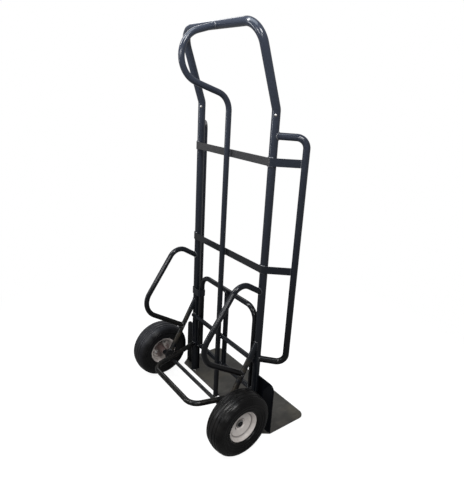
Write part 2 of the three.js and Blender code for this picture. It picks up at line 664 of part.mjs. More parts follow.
// Rubber valve: its flange seals on the tyre side of the rim, its stem points at the hub.
function valveStem() {
  const seat = SEAT_RADIUS + GAP;
  const base = VALVE_RADIUS + 3;
  const tip = SEAT_RADIUS - 20;
  const profile = [
    [0, tip], [VALVE_RADIUS - 1, tip], [VALVE_RADIUS, tip + 3], [VALVE_RADIUS, seat],
    [base, seat], [base, seat + 2.5], [0, seat + 4],
  ];
  return turned(profile, "z", 8).translate(-VALVE_IN, 0, 0);
}

function wheel(name, side) {
  const group = new THREE.Group();
  group.position.set(side * WHEEL_X, AXLE.y, AXLE.z);
  if (side < 0) group.rotation.z = Math.PI;
  const place = (piece, geometry, material) => add(`${name}_${piece}`, geometry, material, group);
  const bore = HUB_RADIUS - HUB_WALL;
  const bearing = (from) =>
    ring(AXLE_RADIUS + GAP, bore - GAP, from, from + BEARING_LENGTH, "x", 16);
  place("tyre", tyre(), rubber);
  place("outer_rim", outerRim(), rimPaint);
  place("inner_rim", innerRim(), rimPaint);
  place("hub", ring(bore, HUB_RADIUS, -HUB_IN, HUB_OUT, "x", 16), rimPaint);
  place("outer_bearing", bearing(HUB_OUT - BEARING_LENGTH), steel);
  place("inner_bearing", bearing(-HUB_IN), steel);
  place("valve_stem", valveStem(), rubber);
  boltAngles().forEach((angle, i) => place(`rim_bolt_${i + 1}`, rimBolt(angle), steel));
  return group;
}

// ---------------------------------------------------------------- assembly
const truck = new THREE.Group();
const rearmost = AXLE_SETBACK + TYRE_RADIUS;
truck.position.y = (rearmost - TOE_FRONT) / 2;

function add(name, geometry, material, parent = truck) {
  const mesh = new THREE.Mesh(geometry, material);
  mesh.name = name;
  parent.add(mesh);
}

add("handle_loop", handleLoop(), paint);
add("centre_tube", centreTube(), paint);
add("upper_strap", strap(UPPER_STRAP_Z), paint);
add("lower_strap", strap(LOWER_STRAP_Z), paint);
add("lower_cross_tube", crossTube(), paint);
add("step_loop", stepLoop(), paint);
add("toe_plate", toePlate(), toePaint);
add("axle", axle(), paint);
add("nose_loop", noseLoop(), paint);
add("nose_centre_bar", noseCentreBar(), paint);
add("nose_hinge_bar", noseHingeBar(), paint);
add("nose_catch", noseCatch(), paint);
for (const [name, side] of SIDES) {
  add(`${name}_rail`, rail(side), paint);
  add(`${name}_handle_rivet`, handleRivet(side), steel);
  add(`${name}_wing`, wing(side), paint);
  add(`${name}_rear_loop`, rearLoop(side), paint);
  add(`${name}_axle_strut`, axleStrut(side), paint);
  add(`${name}_axle_lug`, axleLug(side), paint);
  add(`${name}_toe_bracket`, toeBracket(side), paint);
  add(`${name}_nose_lug`, noseLug(side), paint);
  add(`${name}_nose_pin`, nosePin(side), steel);
  const clear = AXLE_RADIUS + GAP;
  const ringIn = WASHER_OUT + 1.5 * GAP;
  const ringBore = AXLE_RADIUS - GROOVE_DEPTH + GAP;
  const spacer = axleCollar(side, clear, SPACER_RADIUS, SPACER_IN, SPACER_OUT);
  const washer = axleCollar(side, clear, WASHER_RADIUS, WASHER_IN, WASHER_OUT);
  const retainer = axleCollar(side, ringBore, RING_RADIUS, ringIn, ringIn + RING_THICKNESS);
  add(`${name}_axle_spacer`, spacer, paint);
  add(`${name}_washer`, washer, steel);
  add(`${name}_retaining_ring`, retainer, steel);
  truck.add(wheel(name, side));
}

export default truck;
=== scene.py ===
import math

import bmesh
import bpy
from mathutils import Matrix, Vector


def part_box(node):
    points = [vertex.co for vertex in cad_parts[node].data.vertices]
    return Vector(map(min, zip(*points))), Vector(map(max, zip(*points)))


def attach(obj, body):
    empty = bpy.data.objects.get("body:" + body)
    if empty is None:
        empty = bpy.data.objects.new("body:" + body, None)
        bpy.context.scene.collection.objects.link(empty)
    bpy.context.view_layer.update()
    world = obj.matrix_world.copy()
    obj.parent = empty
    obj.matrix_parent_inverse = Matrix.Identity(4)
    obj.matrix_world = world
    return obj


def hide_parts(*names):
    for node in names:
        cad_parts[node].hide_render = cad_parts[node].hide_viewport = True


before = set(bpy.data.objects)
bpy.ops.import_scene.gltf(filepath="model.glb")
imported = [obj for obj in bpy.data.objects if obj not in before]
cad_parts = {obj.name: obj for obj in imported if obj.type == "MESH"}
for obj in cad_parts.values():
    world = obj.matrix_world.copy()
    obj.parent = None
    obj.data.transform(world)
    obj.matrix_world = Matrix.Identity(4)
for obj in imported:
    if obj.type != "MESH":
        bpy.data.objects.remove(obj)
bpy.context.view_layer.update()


# ------------------------------------------------------------------ studio
# A pale floor in an evenly lit white room. A long soft box stands high behind the
# operator's left, and six others fill in round the truck. The camera stands behind and to
# the right, lower than the handle's top bar, and looks down at the truck.
CAMERA_PLACE = Vector((1.3856, -1.0272, 1.3271))
CAMERA_HEADING = math.radians(52.266)
CAMERA_DOWN = math.radians(18.541)
CAMERA_ROLL = math.radians(3.081)
CAMERA_LENS = 33.923
CAMERA_NEAREST = 0.05

ahead = Vector((
    -math.sin(CAMERA_HEADING) * math.cos(CAMERA_DOWN),
    math.cos(CAMERA_HEADING) * math.cos(CAMERA_DOWN),
    -math.sin(CAMERA_DOWN),
))
level = Vector((math.cos(CAMERA_HEADING), math.sin(CAMERA_HEADING), 0))
upright = level.cross(ahead)
across = level * math.cos(CAMERA_ROLL) + upright * math.sin(CAMERA_ROLL)
over = upright * math.cos(CAMERA_ROLL) - level * math.sin(CAMERA_ROLL)

camera_data = bpy.data.cameras.new("camera")
camera_data.lens = CAMERA_LENS
camera_data.clip_start = CAMERA_NEAREST
camera = bpy.data.objects.new("camera", camera_data)
bpy.context.scene.collection.objects.link(camera)
camera_axes = Matrix((across, over, -ahead)).transposed().to_4x4()
camera.matrix_world = Matrix.Translation(CAMERA_PLACE) @ camera_axes
bpy.context.scene.camera = camera
bpy.context.scene.view_settings.view_transform = "Standard"


class Wire:
    """One socket of a node tree. Sums of wires and numbers add Math nodes."""

    def __init__(self, tree, socket=None):
        self.tree = tree
        self.socket = socket

    def node(self, kind, settings=None, values=None, output=0):
        made = self.tree.nodes.new(kind)
        for name, value in (settings or {}).items():
            if name == "stops":
                band = made.color_ramp.elements
                while len(band) < len(value):
                    band.new(1)
                for stop, (place, shade) in zip(band, value):
                    stop.position = place
                    stop.color = (shade, shade, shade, 1)
            else:
                setattr(made, name, value)
        for name, value in (values or {}).items():
            if isinstance(value, Wire):
                self.tree.links.new(value.socket, made.inputs[name])
            else:
                made.inputs[name].default_value = value
        return Wire(self.tree, made.outputs[output])

    def maths(self, operation, first, second=0.0):
        return self.node("ShaderNodeMath", {"operation": operation}, {0: first, 1: second})

    def __add__(self, other):
        return self.maths("ADD", self, other)

    def __sub__(self, other):
        return self.maths("SUBTRACT", self, other)

    def __mul__(self, other):
        return self.maths("MULTIPLY", self, other)

    def __radd__(self, other):
        return self.maths("ADD", other, self)

    def __rsub__(self, other):
        return self.maths("SUBTRACT", other, self)

    def __rmul__(self, other):
        return self.maths("MULTIPLY", other, self)

    def __truediv__(self, other):
        return self.maths("DIVIDE", self, other)

    def __pow__(self, other):
        return self.maths("POWER", self, other)

    def most(self, other):
        return self.maths("MAXIMUM", self, other)

    def step(self, low, high):
        """0 below low, 1 above high and smooth between them."""
        return self.node(
            "ShaderNodeMapRange", {"interpolation_type": "SMOOTHSTEP"},
            {"Value": self, "From Min": low, "From Max": high},
        )

    def noise(self, place, scale, detail=3.0, rough=0.5):
        return self.node("ShaderNodeTexNoise", None, {
            "Vector": place, "Scale": scale, "Detail": detail, "Roughness": rough,
        })

    def part(self, k):
        """One of the three coordinates of a place."""
        return self.node("ShaderNodeSeparateXYZ", None, {0: self}, k)

    def blend(self, first, second):
        """This wire mixes two colours: 0 gives the first and 1 the second."""
        colours = {7: second, 6: first, 0: self}
        colours = {k: (*v, 1) if isinstance(v, tuple) else v for k, v in colours.items()}
        return self.node("ShaderNodeMix", {"data_type": "RGBA"}, colours, 2)


AMBIENT = 0.30
WHITE = (1, 1, 1, 1)
world = bpy.data.worlds.new("white_room")
world.use_nodes = True
world.node_tree.nodes.clear()
room = Wire(world.node_tree)
seen = room.node("ShaderNodeLightPath", None, None, "Is Camera Ray")
glow = room.node("ShaderNodeBackground", None, {
    "Color": WHITE, "Strength": AMBIENT + seen * (1 - AMBIENT),
})
world_end = world.node_tree.nodes.new("ShaderNodeOutputWorld")
world.node_tree.links.new(glow.socket, world_end.inputs["Surface"])
bpy.context.scene.world = world

FLOOR_RADIUS = 4.0
FLOOR_DROP = 0.0005
FLOOR_FADE = (0.8, 1.6)
FLOOR_GREY = (0.18, 0.18, 0.18, 1)
FLOOR_LIFT = 0.90
floor_paint = bpy.data.materials.new("pale_floor")
floor_paint.use_nodes = True
floor_paint.node_tree.nodes.clear()
sweep = Wire(floor_paint.node_tree)
ground = sweep.node("ShaderNodeTexCoord", None, None, "Object")
reach = sweep.node("ShaderNodeVectorMath", {"operation": "LENGTH"}, {0: ground}, "Value")
seen = sweep.node("ShaderNodeLightPath", None, None, "Is Camera Ray")
matt = sweep.node("ShaderNodeBsdfDiffuse", None, {"Color": FLOOR_GREY})
lift = sweep.node("ShaderNodeEmission", None, {"Color": WHITE, "Strength": seen * FLOOR_LIFT})
lit = sweep.node("ShaderNodeAddShader", None, {0: matt, 1: lift})
far = sweep.node("ShaderNodeEmission", None, {
    "Color": WHITE, "Strength": AMBIENT + seen * (1 - AMBIENT),
})
mixed = sweep.node("ShaderNodeMixShader", None, {0: reach.step(*FLOOR_FADE), 1: lit, 2: far})
floor_end = floor_paint.node_tree.nodes.new("ShaderNodeOutputMaterial")
floor_paint.node_tree.links.new(mixed.socket, floor_end.inputs["Surface"])
bpy.ops.object.select_all(action="DESELECT")
bpy.ops.mesh.primitive_circle_add(
    vertices=96, radius=FLOOR_RADIUS, fill_type="NGON", location=(0, 0, -FLOOR_DROP),
)
floor = bpy.context.object
floor.name = "floor"
floor.data.materials.append(floor_paint)


def soft_box(name, place, target, size, power, tint=(1, 1, 1)):
    """A rectangular studio soft box that faces the target and stays out of the picture."""
    lamp = bpy.data.lights.new(name, "AREA")
    lamp.shape = "RECTANGLE"
    lamp.size, lamp.size_y = size
    lamp.energy = power
    lamp.color = tint
    stand = bpy.data.objects.new(name, lamp)
    stand.visible_camera = False
    bpy.context.scene.collection.objects.link(stand)
    stand.location = place
    facing = (Vector(target) - Vector(place)).to_track_quat("-Z", "Y")
    stand.rotation_mode = "QUATERNION"
    stand.rotation_quaternion = facing


soft_box("key_box", (-0.9, -1.7, 3.1), (0, 0, 0.4), (0.3, 1.6), 50, (1, 0.99, 0.97))
soft_box("top_box", (0.1, -0.4, 2.35), (0, -0.1, 1.4), (0.8, 0.8), 9, (0.84, 0.92, 1))
soft_box("side_box", (1.9, -0.7, 2.9), (0.2, 0, 0.2), (0.8, 0.8), 46)
soft_box("rear_box", (0.5, -2.1, 1.75), (0.2, -0.2, 0.5), (0.6, 0.6), 13)
soft_box("left_box", (-1.35, -2.35, 1.3), (-0.2, -0.1, 0.6), (0.4, 1.2), 15, (0.93, 0.96, 1))
soft_box("fill_box", (3.7, -3.25, 2.45), (0.2, -0.2, 0.5), (1.1, 1.1), 40)
soft_box("back_box", (-2.7, 0.7, 2.95), (0, 0, 1.45), (1.5, 1.2), 16)


# ------------------------------------------------------------------ rails
# The two side rails are straight lengths of 30 mm round steel tube, cut square, welded to
# the toe plate at the foot and sprayed in gloss black enamel with the rest of the frame.
# The enamel is deep black low down and painted lighter, blue-grey, higher up, a painted
# reflection; at the foot it is dusty, with a painted brown reflection.
rail_low, rail_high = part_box("right_rail")
RAIL_RADIUS = (rail_high.x - rail_low.x) / 2
RAIL_X = rail_high.x - RAIL_RADIUS
RAIL_Y = rail_high.y - RAIL_RADIUS
RAIL_FOOT = rail_low.z
RAIL_TOP = rail_high.z
UP = Vector((0, 0, 1))
SIDEWAYS = Vector((1, 0, 0))
TUBE_SIDES = 32
BEND_STEP = math.radians(5)
# The enamel colours: black low down and lighter blue-grey higher up, a painted reflection, and a brown
# that is dust with a painted brown floor reflection.
DEEP_BLACK = (0.0048, 0.0058, 0.0078)
CLOUDED_BLACK = (0.0120, 0.0128, 0.0150)
PAINTED_SHEEN_BLUE = (0.0310, 0.0380, 0.0570)
BROWN_DUST_AND_REFLECTION = (0.030, 0.025, 0.018)
RUBBED_GREY = (0.08, 0.074, 0.066)
PAINTED_SHEEN_START = 0.25
PAINTED_SHEEN_HEIGHT = 1.2
DUST_AND_REFLECTION_FRONT = RAIL_Y - 0.022
DUST_AND_REFLECTION_BLEND = 0.03
DUST_AND_REFLECTION_TOP = (0.20, 0.46)
COAT_SHARE = 0.3
COAT_ROUGHNESS = 0.16
LACQUER_ROUGHNESS = 0.07
ARM_START = 0.004
ENAMEL_RELIEF = 0.00005


def new_shader(name):
    """An empty material and a wire in its tree, with the coordinates that its detail follows."""
    material = bpy.data.materials.new(name)
    material.use_nodes = True
    material.node_tree.nodes.clear()
    tree = Wire(material.node_tree)
    return material, tree, tree.node("ShaderNodeTexCoord", None, None, "Object")


def shade(tree, colour, roughness, height, depth, metallic=0.0, ior_level=0.5, **fixed):
    """Closes a material: colour and roughness wires, and a height wire for its relief."""
    relief = tree.node("ShaderNodeBump", None, {"Height": height, "Strength": 1.0, "Distance": depth})
    surface = tree.node("ShaderNodeBsdfPrincipled", None, {
        "Base Color": colour, "Roughness": roughness, "Metallic": metallic,
        "Specular IOR Level": ior_level, "Normal": relief, **fixed,
    })
    end = tree.tree.nodes.new("ShaderNodeOutputMaterial")
    tree.tree.links.new(surface.socket, end.inputs["Surface"])


def black_enamel(
    name, painted_sheen_colour, gloss, dust_and_reflection_share=0.25, arms=None, painted_sheen_power=1.6, lacquer=0.0, deep=DEEP_BLACK,
):
    """Sprayed gloss black, painted lighter with height towards a given colour, or towards a
    second one outboard of the rails, as painted reflection: orange peel, soft waves, brown
    dust with a painted brown reflection low down and rubbed spots."""
    material, tree, place = new_shader(name)
    if arms:
        aside = place.part(0)
        outboard = (aside * aside).step((RAIL_X + ARM_START) ** 2, (RAIL_X + 2 * ARM_START) ** 2)
        painted_sheen_colour = outboard.blend(painted_sheen_colour, arms)
    height = place.part(2)
    cloud = tree.noise(place, 9, 3)
    patch = tree.noise(place, 38, 4, 0.6)
    peel = tree.noise(place, 620, 1)
    wave = tree.noise(place, 45, 1)
    rub = tree.noise(place, 95, 3, 0.65)
    # Brown dust with a painted brown floor reflection, low down and behind the rails.
    behind = 1 - place.part(1).step(DUST_AND_REFLECTION_FRONT - DUST_AND_REFLECTION_BLEND, DUST_AND_REFLECTION_FRONT)
    low = (1 - height.step(*DUST_AND_REFLECTION_TOP)) * behind
    dust = patch.step(0.30, 0.74) * low
    rubbed = rub.step(0.69, 0.75) * (0.25 + low * 0.75)
    speckle = tree.noise(place, 240, 3, 0.7).step(0.36, 0.68)
    # Painted reflection: the colour lightens with height from the deep black.
    painted_sheen = ((height - PAINTED_SHEEN_START) / PAINTED_SHEEN_HEIGHT).most(0) ** painted_sheen_power
    colour = (painted_sheen * (0.74 + speckle * 0.52)).blend(deep, painted_sheen_colour)
    colour = (cloud.step(0.35, 0.7) * 0.15).blend(colour, CLOUDED_BLACK)
    colour = (dust * dust_and_reflection_share).blend(colour, BROWN_DUST_AND_REFLECTION)
    colour = (rubbed * 0.5).blend(colour, RUBBED_GREY)
    roughness = 0.125 + cloud * 0.07 + dust * 0.2 + rubbed * 0.2
    relief = peel * 0.04 + wave * 0.3 - rubbed * 0.2
    coat = {
        "Coat Weight": painted_sheen * COAT_SHARE + lacquer,
        "Coat Roughness": LACQUER_ROUGHNESS if lacquer else COAT_ROUGHNESS,
    }
    shade(tree, colour, roughness, relief, ENAMEL_RELIEF, ior_level=gloss, **coat)
    return material


def deselect():
    """Leaves edit mode with nothing selected."""
    if bpy.context.object and bpy.context.object.mode != "OBJECT":
        bpy.ops.object.mode_set(mode="OBJECT")
    bpy.ops.object.select_all(action="DESELECT")


def draw_along(corners, bends):
    """Pulls the selected face along straight runs and round bends, as a tube bender does."""
    runs = [(end - start).normalized() for start, end in zip(corners, corners[1:])]
    at = corners[0]
    for corner, radius, run, leaving in zip(corners[1:], bends, runs, runs[1:]):
        turn = run.angle(leaving)
        tangent = radius * math.tan(turn / 2)
        stop = corner - run * tangent
        bpy.ops.mesh.extrude_region_move(TRANSFORM_OT_translate={"value": tuple(stop - at)})
        inward = (leaving - run * math.cos(turn)).normalized()
        bpy.ops.mesh.spin(
            steps=max(2, math.ceil(turn / BEND_STEP)), angle=turn,
            center=stop + inward * radius, axis=leaving.cross(run).normalized(),
        )
        at = corner + leaving * tangent
    bpy.ops.mesh.extrude_region_move(TRANSFORM_OT_translate={"value": tuple(corners[-1] - at)})


def close_up(smooth_degrees=40):
    """Leaves edit mode with the shell's faces outwards and its curved faces smooth."""
    bpy.ops.mesh.select_all(action="SELECT")
    bpy.ops.mesh.normals_make_consistent(inside=False)
    bpy.ops.object.mode_set(mode="OBJECT")
    bpy.ops.object.shade_smooth_by_angle(angle=math.radians(smooth_degrees))
    return bpy.context.object


def round_bar(corners, bends, radius, sides=TUBE_SIDES):
    """A round tube along a bent centre line, closed at both ends."""
    facing = UP.rotation_difference(corners[1] - corners[0]).to_euler()
    deselect()
    bpy.ops.mesh.primitive_circle_add(
        vertices=sides, radius=radius, fill_type="NGON", location=corners[0], rotation=facing,
    )
    bpy.ops.object.transform_apply(location=True, rotation=True, scale=True)
    bpy.ops.object.mode_set(mode="EDIT")
    bpy.ops.mesh.select_all(action="SELECT")
    draw_along(corners, bends)
    return close_up()


def settle(piece, name, material, slot, body, *nodes):
    """Names a finished piece, paints it and puts it on its body in place of its CAD nodes."""
    piece.name = piece.data.name = name
    piece.data.materials.clear()
    piece.data.materials.append(material)
    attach(piece, body)
    if nodes:
        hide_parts(*nodes)
    return piece


def copied(piece, matrix):
    """A copy of a piece with its own mesh, moved or mirrored by the matrix."""
    other = piece.copy()
    other.data = piece.data.copy()
    bpy.context.scene.collection.objects.link(other)
    other.data.transform(matrix)
    if matrix.determinant() < 0:
        other.data.flip_normals()
    return other


def settle_pair(piece, name, material, slot, body, *nodes):
    """Settles a piece on the right side and its mirrored copy on the left."""
    mate = copied(piece, Matrix.Diagonal((-1, 1, 1, 1)))
    for part, side in ((piece, "right"), (mate, "left")):
        own_body = body.format(side=side)
        settle(part, f"{side}_{name}", material, slot, own_body, *[f"{side}_{n}" for n in nodes])


def on_rail(z):
    """A point on the right rail's centre line."""
    return Vector((RAIL_X, RAIL_Y, z))


enamel = black_enamel("black_enamel", PAINTED_SHEEN_BLUE, 0.3)
rail = round_bar([on_rail(RAIL_FOOT), on_rail(RAIL_TOP)], [], RAIL_RADIUS)
settle_pair(rail, "rail_tube", enamel, "enamel", "frame", "rail")


# ------------------------------------------------------------------ handle
# One 30 mm tube bent into a loop and leant back 20 degrees. Its ends butt on the rails over
# inner spigots, and a domed rivet through each joint holds it.
HANDLE_BEND_RADIUS = 0.038
HANDLE_CORNER_RADIUS = 0.070
HANDLE_RISE = 0.261
HANDLE_JOINT = 0.0003
loop_low, loop_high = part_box("handle_loop")
HANDLE_TOP_Z = loop_high.z - RAIL_RADIUS
HANDLE_TOP_Y = loop_low.y + RAIL_RADIUS


def handle_half(sign):
    """The corners of one side of the handle, from the rail's top up to the top bar."""
    x = sign * RAIL_X
    return [
        Vector((x, RAIL_Y, RAIL_TOP + HANDLE_JOINT)),
        Vector((x, RAIL_Y, HANDLE_TOP_Z - HANDLE_RISE)),
        Vector((x, HANDLE_TOP_Y, HANDLE_TOP_Z)),
    ]


handle_corners = handle_half(-1) + handle_half(1)[::-1]
handle_bends = [HANDLE_BEND_RADIUS, HANDLE_CORNER_RADIUS, HANDLE_CORNER_RADIUS, HANDLE_BEND_RADIUS]
handle = round_bar(handle_corners, handle_bends, RAIL_RADIUS)
settle(handle, "handle_tube", enamel, "enamel", "frame", "handle_loop")


# ------------------------------------------------------------------ centre tube
# A 22 mm tube that leaves the top bar, loops back as the grip and runs down between the
# rails to the toe plate, with a saddle cut at the top bar.
centre_low, centre_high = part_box("centre_tube")
CENTRE_RADIUS = (centre_high.x - centre_low.x) / 2
CENTRE_BEHIND_RAILS = 0.0296
CENTRE_Y = RAIL_Y - CENTRE_BEHIND_RAILS
GRIP_BACK = 0.343
GRIP_DROP = 0.106
GRIP_BEND_RADIUS = 0.086
SHOULDER_DROP = 0.2325
SHOULDER_RADIUS = 0.068
centre_corners = [
    Vector((0, HANDLE_TOP_Y, HANDLE_TOP_Z)),
    Vector((0, HANDLE_TOP_Y - GRIP_BACK, HANDLE_TOP_Z - GRIP_DROP)),
    Vector((0, CENTRE_Y, HANDLE_TOP_Z - SHOULDER_DROP)),
    Vector((0, CENTRE_Y, centre_low.z)),
]
centre = round_bar(centre_corners, [GRIP_BEND_RADIUS, SHOULDER_RADIUS], CENTRE_RADIUS)
settle(centre, "centre_tube_and_grip", enamel, "enamel", "frame", "centre_tube")


# ------------------------------------------------------------------ wings
# A 25 mm tube outboard of each rail, cranked forward, that keeps wide loads off the wheels.
# Each end is cut to a saddle and welded to the rail. Wings, skid loops, step loop and nose
# arch carry an enamel whose low end is painted blacker, as a painted dark reflection, with a
# thin, wet-looking lacquer over it.
WING_TOP_CORNER = 0.036
WING_BOTTOM_CORNER = 0.040
WING_RADIUS = 0.0125
wing_low, wing_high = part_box("right_wing")
WING_X = wing_high.x - WING_RADIUS
WING_Y = wing_high.y - WING_RADIUS
WING_TOP = wing_high.z - WING_RADIUS
WING_BOTTOM = wing_low.z + WING_RADIUS
wing_corners = [
    on_rail(WING_TOP), Vector((WING_X, WING_Y, WING_TOP)),
    Vector((WING_X, WING_Y, WING_BOTTOM)), on_rail(WING_BOTTOM),
]
# A blacker low end for these tubes' painted reflection.
JET_BLACK = (0.0018, 0.0019, 0.0022)
low_enamel = black_enamel(
    "low_enamel", PAINTED_SHEEN_BLUE, 0.14, dust_and_reflection_share=0.2, lacquer=0.22, deep=JET_BLACK,
)
wing = round_bar(wing_corners, [WING_TOP_CORNER, WING_BOTTOM_CORNER], WING_RADIUS)
settle_pair(wing, "wing_tube", low_enamel, "enamel", "frame", "wing")


# ------------------------------------------------------------------ straps
# Two 29 x 3 mm flat bars across the back of the rails. Each is bent round both rails and
# reaches forward to the wings' uprights, and is welded to every tube that it touches. Higher
# up the enamel is painted lighter as painted reflection, to plain grey between the rails and
# to blue-grey on the arms.
STRAP_THICKNESS = 0.003
STRAP_GAP = 0.0003
STRAP_EDGE = 0.0007
# Painted reflection: the colours that the strap's enamel is painted towards higher up.
STRAP_PAINTED_SHEEN = (0.084, 0.083, 0.085)
ARM_PAINTED_SHEEN = (0.032, 0.040, 0.058)


def flat_bar(corners, bends, thickness, height, edge):
    """A flat bar on edge along a bent line in the level plane, with its long edges eased."""
    run = (corners[1] - corners[0]).normalized()
    axes = Matrix((run.cross(UP), UP, run)).transposed()
    if axes.determinant() < 0:
        axes = Matrix((UP.cross(run), UP, run)).transposed()
    deselect()
    bpy.ops.mesh.primitive_plane_add(size=1, location=corners[0], rotation=axes.to_euler())
    bpy.context.object.scale = (thickness, height, 1)
    bpy.ops.object.transform_apply(location=True, rotation=True, scale=True)
    bpy.ops.object.mode_set(mode="EDIT")
    bpy.ops.mesh.select_all(action="SELECT")
    draw_along(corners, bends)
    return ease_edges(close_up(), edge)


def ease_edges(piece, width, segments=2, degrees=40, smooth_degrees=35):
    """Rounds a piece's sharp edges by a small radius, as a ground or pressed edge has."""
    bevel = piece.modifiers.new("eased_edges", "BEVEL")
    bevel.width = width
    bevel.segments = segments
    bevel.limit_method = "ANGLE"
    bevel.angle_limit = math.radians(degrees)
    bpy.ops.object.modifier_apply(modifier=bevel.name)
    bpy.ops.object.shade_smooth_by_angle(angle=math.radians(smooth_degrees))
    return piece


strap_enamel = black_enamel("strap_enamel", STRAP_PAINTED_SHEEN, 0.22, arms=ARM_PAINTED_SHEEN, painted_sheen_power=2.3)
strap_wrap = RAIL_RADIUS + STRAP_GAP + STRAP_THICKNESS / 2
wing_out, wing_forward = WING_X - RAIL_X, WING_Y - RAIL_Y
wing_distance = math.hypot(wing_out, wing_forward)
arm_angle = math.atan2(wing_forward, wing_out) + math.asin(strap_wrap / wing_distance)
arm_length = math.sqrt(wing_distance ** 2 - strap_wrap ** 2) - WING_RADIUS - STRAP_GAP
crank = strap_wrap * math.tan(arm_angle / 2)
arm_full = crank + arm_length
arm_start = Vector((RAIL_X + crank, RAIL_Y - strap_wrap, 0))
arm_end = Vector((
    RAIL_X + crank + arm_full * math.cos(arm_angle),
    RAIL_Y - strap_wrap + arm_full * math.sin(arm_angle), 0,
))
for level_name in ("upper", "lower"):
    strap_low, strap_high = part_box(f"{level_name}_strap")
    strap_z = (strap_low.z + strap_high.z) / 2
    right_half = [Vector((p.x, p.y, strap_z)) for p in (arm_start, arm_end)]
    left_half = [Vector((-p.x, p.y, p.z)) for p in reversed(right_half)]
    strap = flat_bar(
        left_half + right_half, [strap_wrap, strap_wrap],
        STRAP_THICKNESS, strap_high.z - strap_low.z, STRAP_EDGE,
    )
    settle(strap, f"{level_name}_strap_bar", strap_enamel, "enamel", "frame", f"{level_name}_strap")


# ------------------------------------------------------------------ lower cross tube
# A 20 mm tube between the rails, notched over the front of the centre tube and welded to it
# and to both rails. The raised nose extension stands just ahead of it.
cross_low, cross_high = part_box("lower_cross_tube")
CROSS_RADIUS = (cross_high.z - cross_low.z) / 2
cross_y = (cross_low.y + cross_high.y) / 2
cross_z = (cross_low.z + cross_high.z) / 2
cross = round_bar(
    [Vector((-RAIL_X, cross_y, cross_z)), Vector((RAIL_X, cross_y, cross_z))], [], CROSS_RADIUS,
)
settle(cross, "lower_cross_bar", enamel, "enamel", "frame", "lower_cross_tube")


# ------------------------------------------------------------------ skid loops and struts
# On each side a 22 mm tube leaves the rail, turns down behind the wheel and lands on a
# slanted strut that carries the axle. The truck slides on the loops over kerbs and steps,
# and the struts, low down and behind, are brown with dust and a painted brown reflection.
LOOP_RADIUS = 0.011
SKID_START_Z = 0.5995
SKID_TOP_BACK = 0.110
SKID_TOP_Z = 0.667
SKID_TOP_CORNER = 0.054
SKID_REAR_BACK = 0.287
SKID_REAR_Z = 0.4005
SKID_REAR_CORNER = 0.078
SKID_FOOT_Z = 0.266
STRUT_TOP_Z = 0.396
LUG_REACH = 0.030
lug_low, lug_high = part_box("right_axle_lug")
wheel_low, wheel_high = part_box("right_tyre")
AXLE_Y = (wheel_low.y + wheel_high.y) / 2
AXLE_Z = (wheel_low.z + wheel_high.z) / 2
WHEEL_X = (wheel_low.x + wheel_high.x) / 2
strut_top = on_rail(STRUT_TOP_Z)
axle_centre = Vector((RAIL_X, AXLE_Y, AXLE_Z))
along_strut = (axle_centre - strut_top).normalized()
skid_foot = strut_top.lerp(axle_centre, (STRUT_TOP_Z - SKID_FOOT_Z) / (STRUT_TOP_Z - AXLE_Z))
skid_corners = [
    on_rail(SKID_START_Z),
    Vector((RAIL_X, RAIL_Y - SKID_TOP_BACK, SKID_TOP_Z)),
    Vector((RAIL_X, RAIL_Y - SKID_REAR_BACK, SKID_REAR_Z)),
    skid_foot,
]
skid = round_bar(skid_corners, [SKID_TOP_CORNER, SKID_REAR_CORNER], LOOP_RADIUS)
settle_pair(skid, "skid_loop", low_enamel, "enamel", "frame", "rear_loop")
# The struts carry the most brown dust and painted brown reflection.
dust_and_reflection_enamel = black_enamel("dust_and_reflection_enamel", PAINTED_SHEEN_BLUE, 0.2, dust_and_reflection_share=1.2)
strut = round_bar([strut_top, axle_centre - along_strut * LUG_REACH], [], LOOP_RADIUS)
settle_pair(strut, "strut_tube", dust_and_reflection_enamel, "enamel", "frame", "axle_strut")


# ------------------------------------------------------------------ step loop
# A 22 mm tube from rail to rail that passes over the axle and turns across behind it, as a
# foot rest for tipping the load back.
STEP_CORNER = 0.055
STEP_HALF_WIDTH = 0.151
step_low, step_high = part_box("step_loop")
step_z = (step_low.z + step_high.z) / 2
step_rear = step_low.y + LOOP_RADIUS
step_corners = [
    Vector((-RAIL_X, RAIL_Y, step_z)), Vector((-STEP_HALF_WIDTH, step_rear, step_z)),
    Vector((STEP_HALF_WIDTH, step_rear, step_z)), on_rail(step_z),
]
step = round_bar(step_corners, [STEP_CORNER, STEP_CORNER], LOOP_RADIUS)
settle(step, "step_loop_tube", low_enamel, "enamel", "frame", "step_loop")


# ------------------------------------------------------------------ nose extension
# A 22 mm tube bent into an arch, with a middle bar of the same tube, welded to a solid
# hinge bar between two lugs. It folds down over the toe plate for long loads.
NOSE_CORNER = 0.053
nose_low, nose_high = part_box("nose_loop")
hinge_low, hinge_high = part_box("nose_hinge_bar")
NOSE_RADIUS = (nose_high.y - nose_low.y) / 2
NOSE_Y = (nose_low.y + nose_high.y) / 2
NOSE_X = nose_high.x - NOSE_RADIUS
NOSE_TOP = nose_high.z - NOSE_RADIUS
HINGE_Z = (hinge_low.z + hinge_high.z) / 2
HINGE_RADIUS = (hinge_high.z - hinge_low.z) / 2
nose_corners = [
    Vector((-NOSE_X, NOSE_Y, HINGE_Z)), Vector((-NOSE_X, NOSE_Y, NOSE_TOP)),
    Vector((NOSE_X, NOSE_Y, NOSE_TOP)), Vector((NOSE_X, NOSE_Y, HINGE_Z)),
]
nose = round_bar(nose_corners, [NOSE_CORNER, NOSE_CORNER], NOSE_RADIUS)
settle(nose, "nose_arch", low_enamel, "enamel", "nose", "nose_loop")
middle = round_bar([Vector((0, NOSE_Y, HINGE_Z)), Vector((0, NOSE_Y, NOSE_TOP))], [], NOSE_RADIUS)
settle(middle, "nose_middle_bar", enamel, "enamel", "nose", "nose_centre_bar")


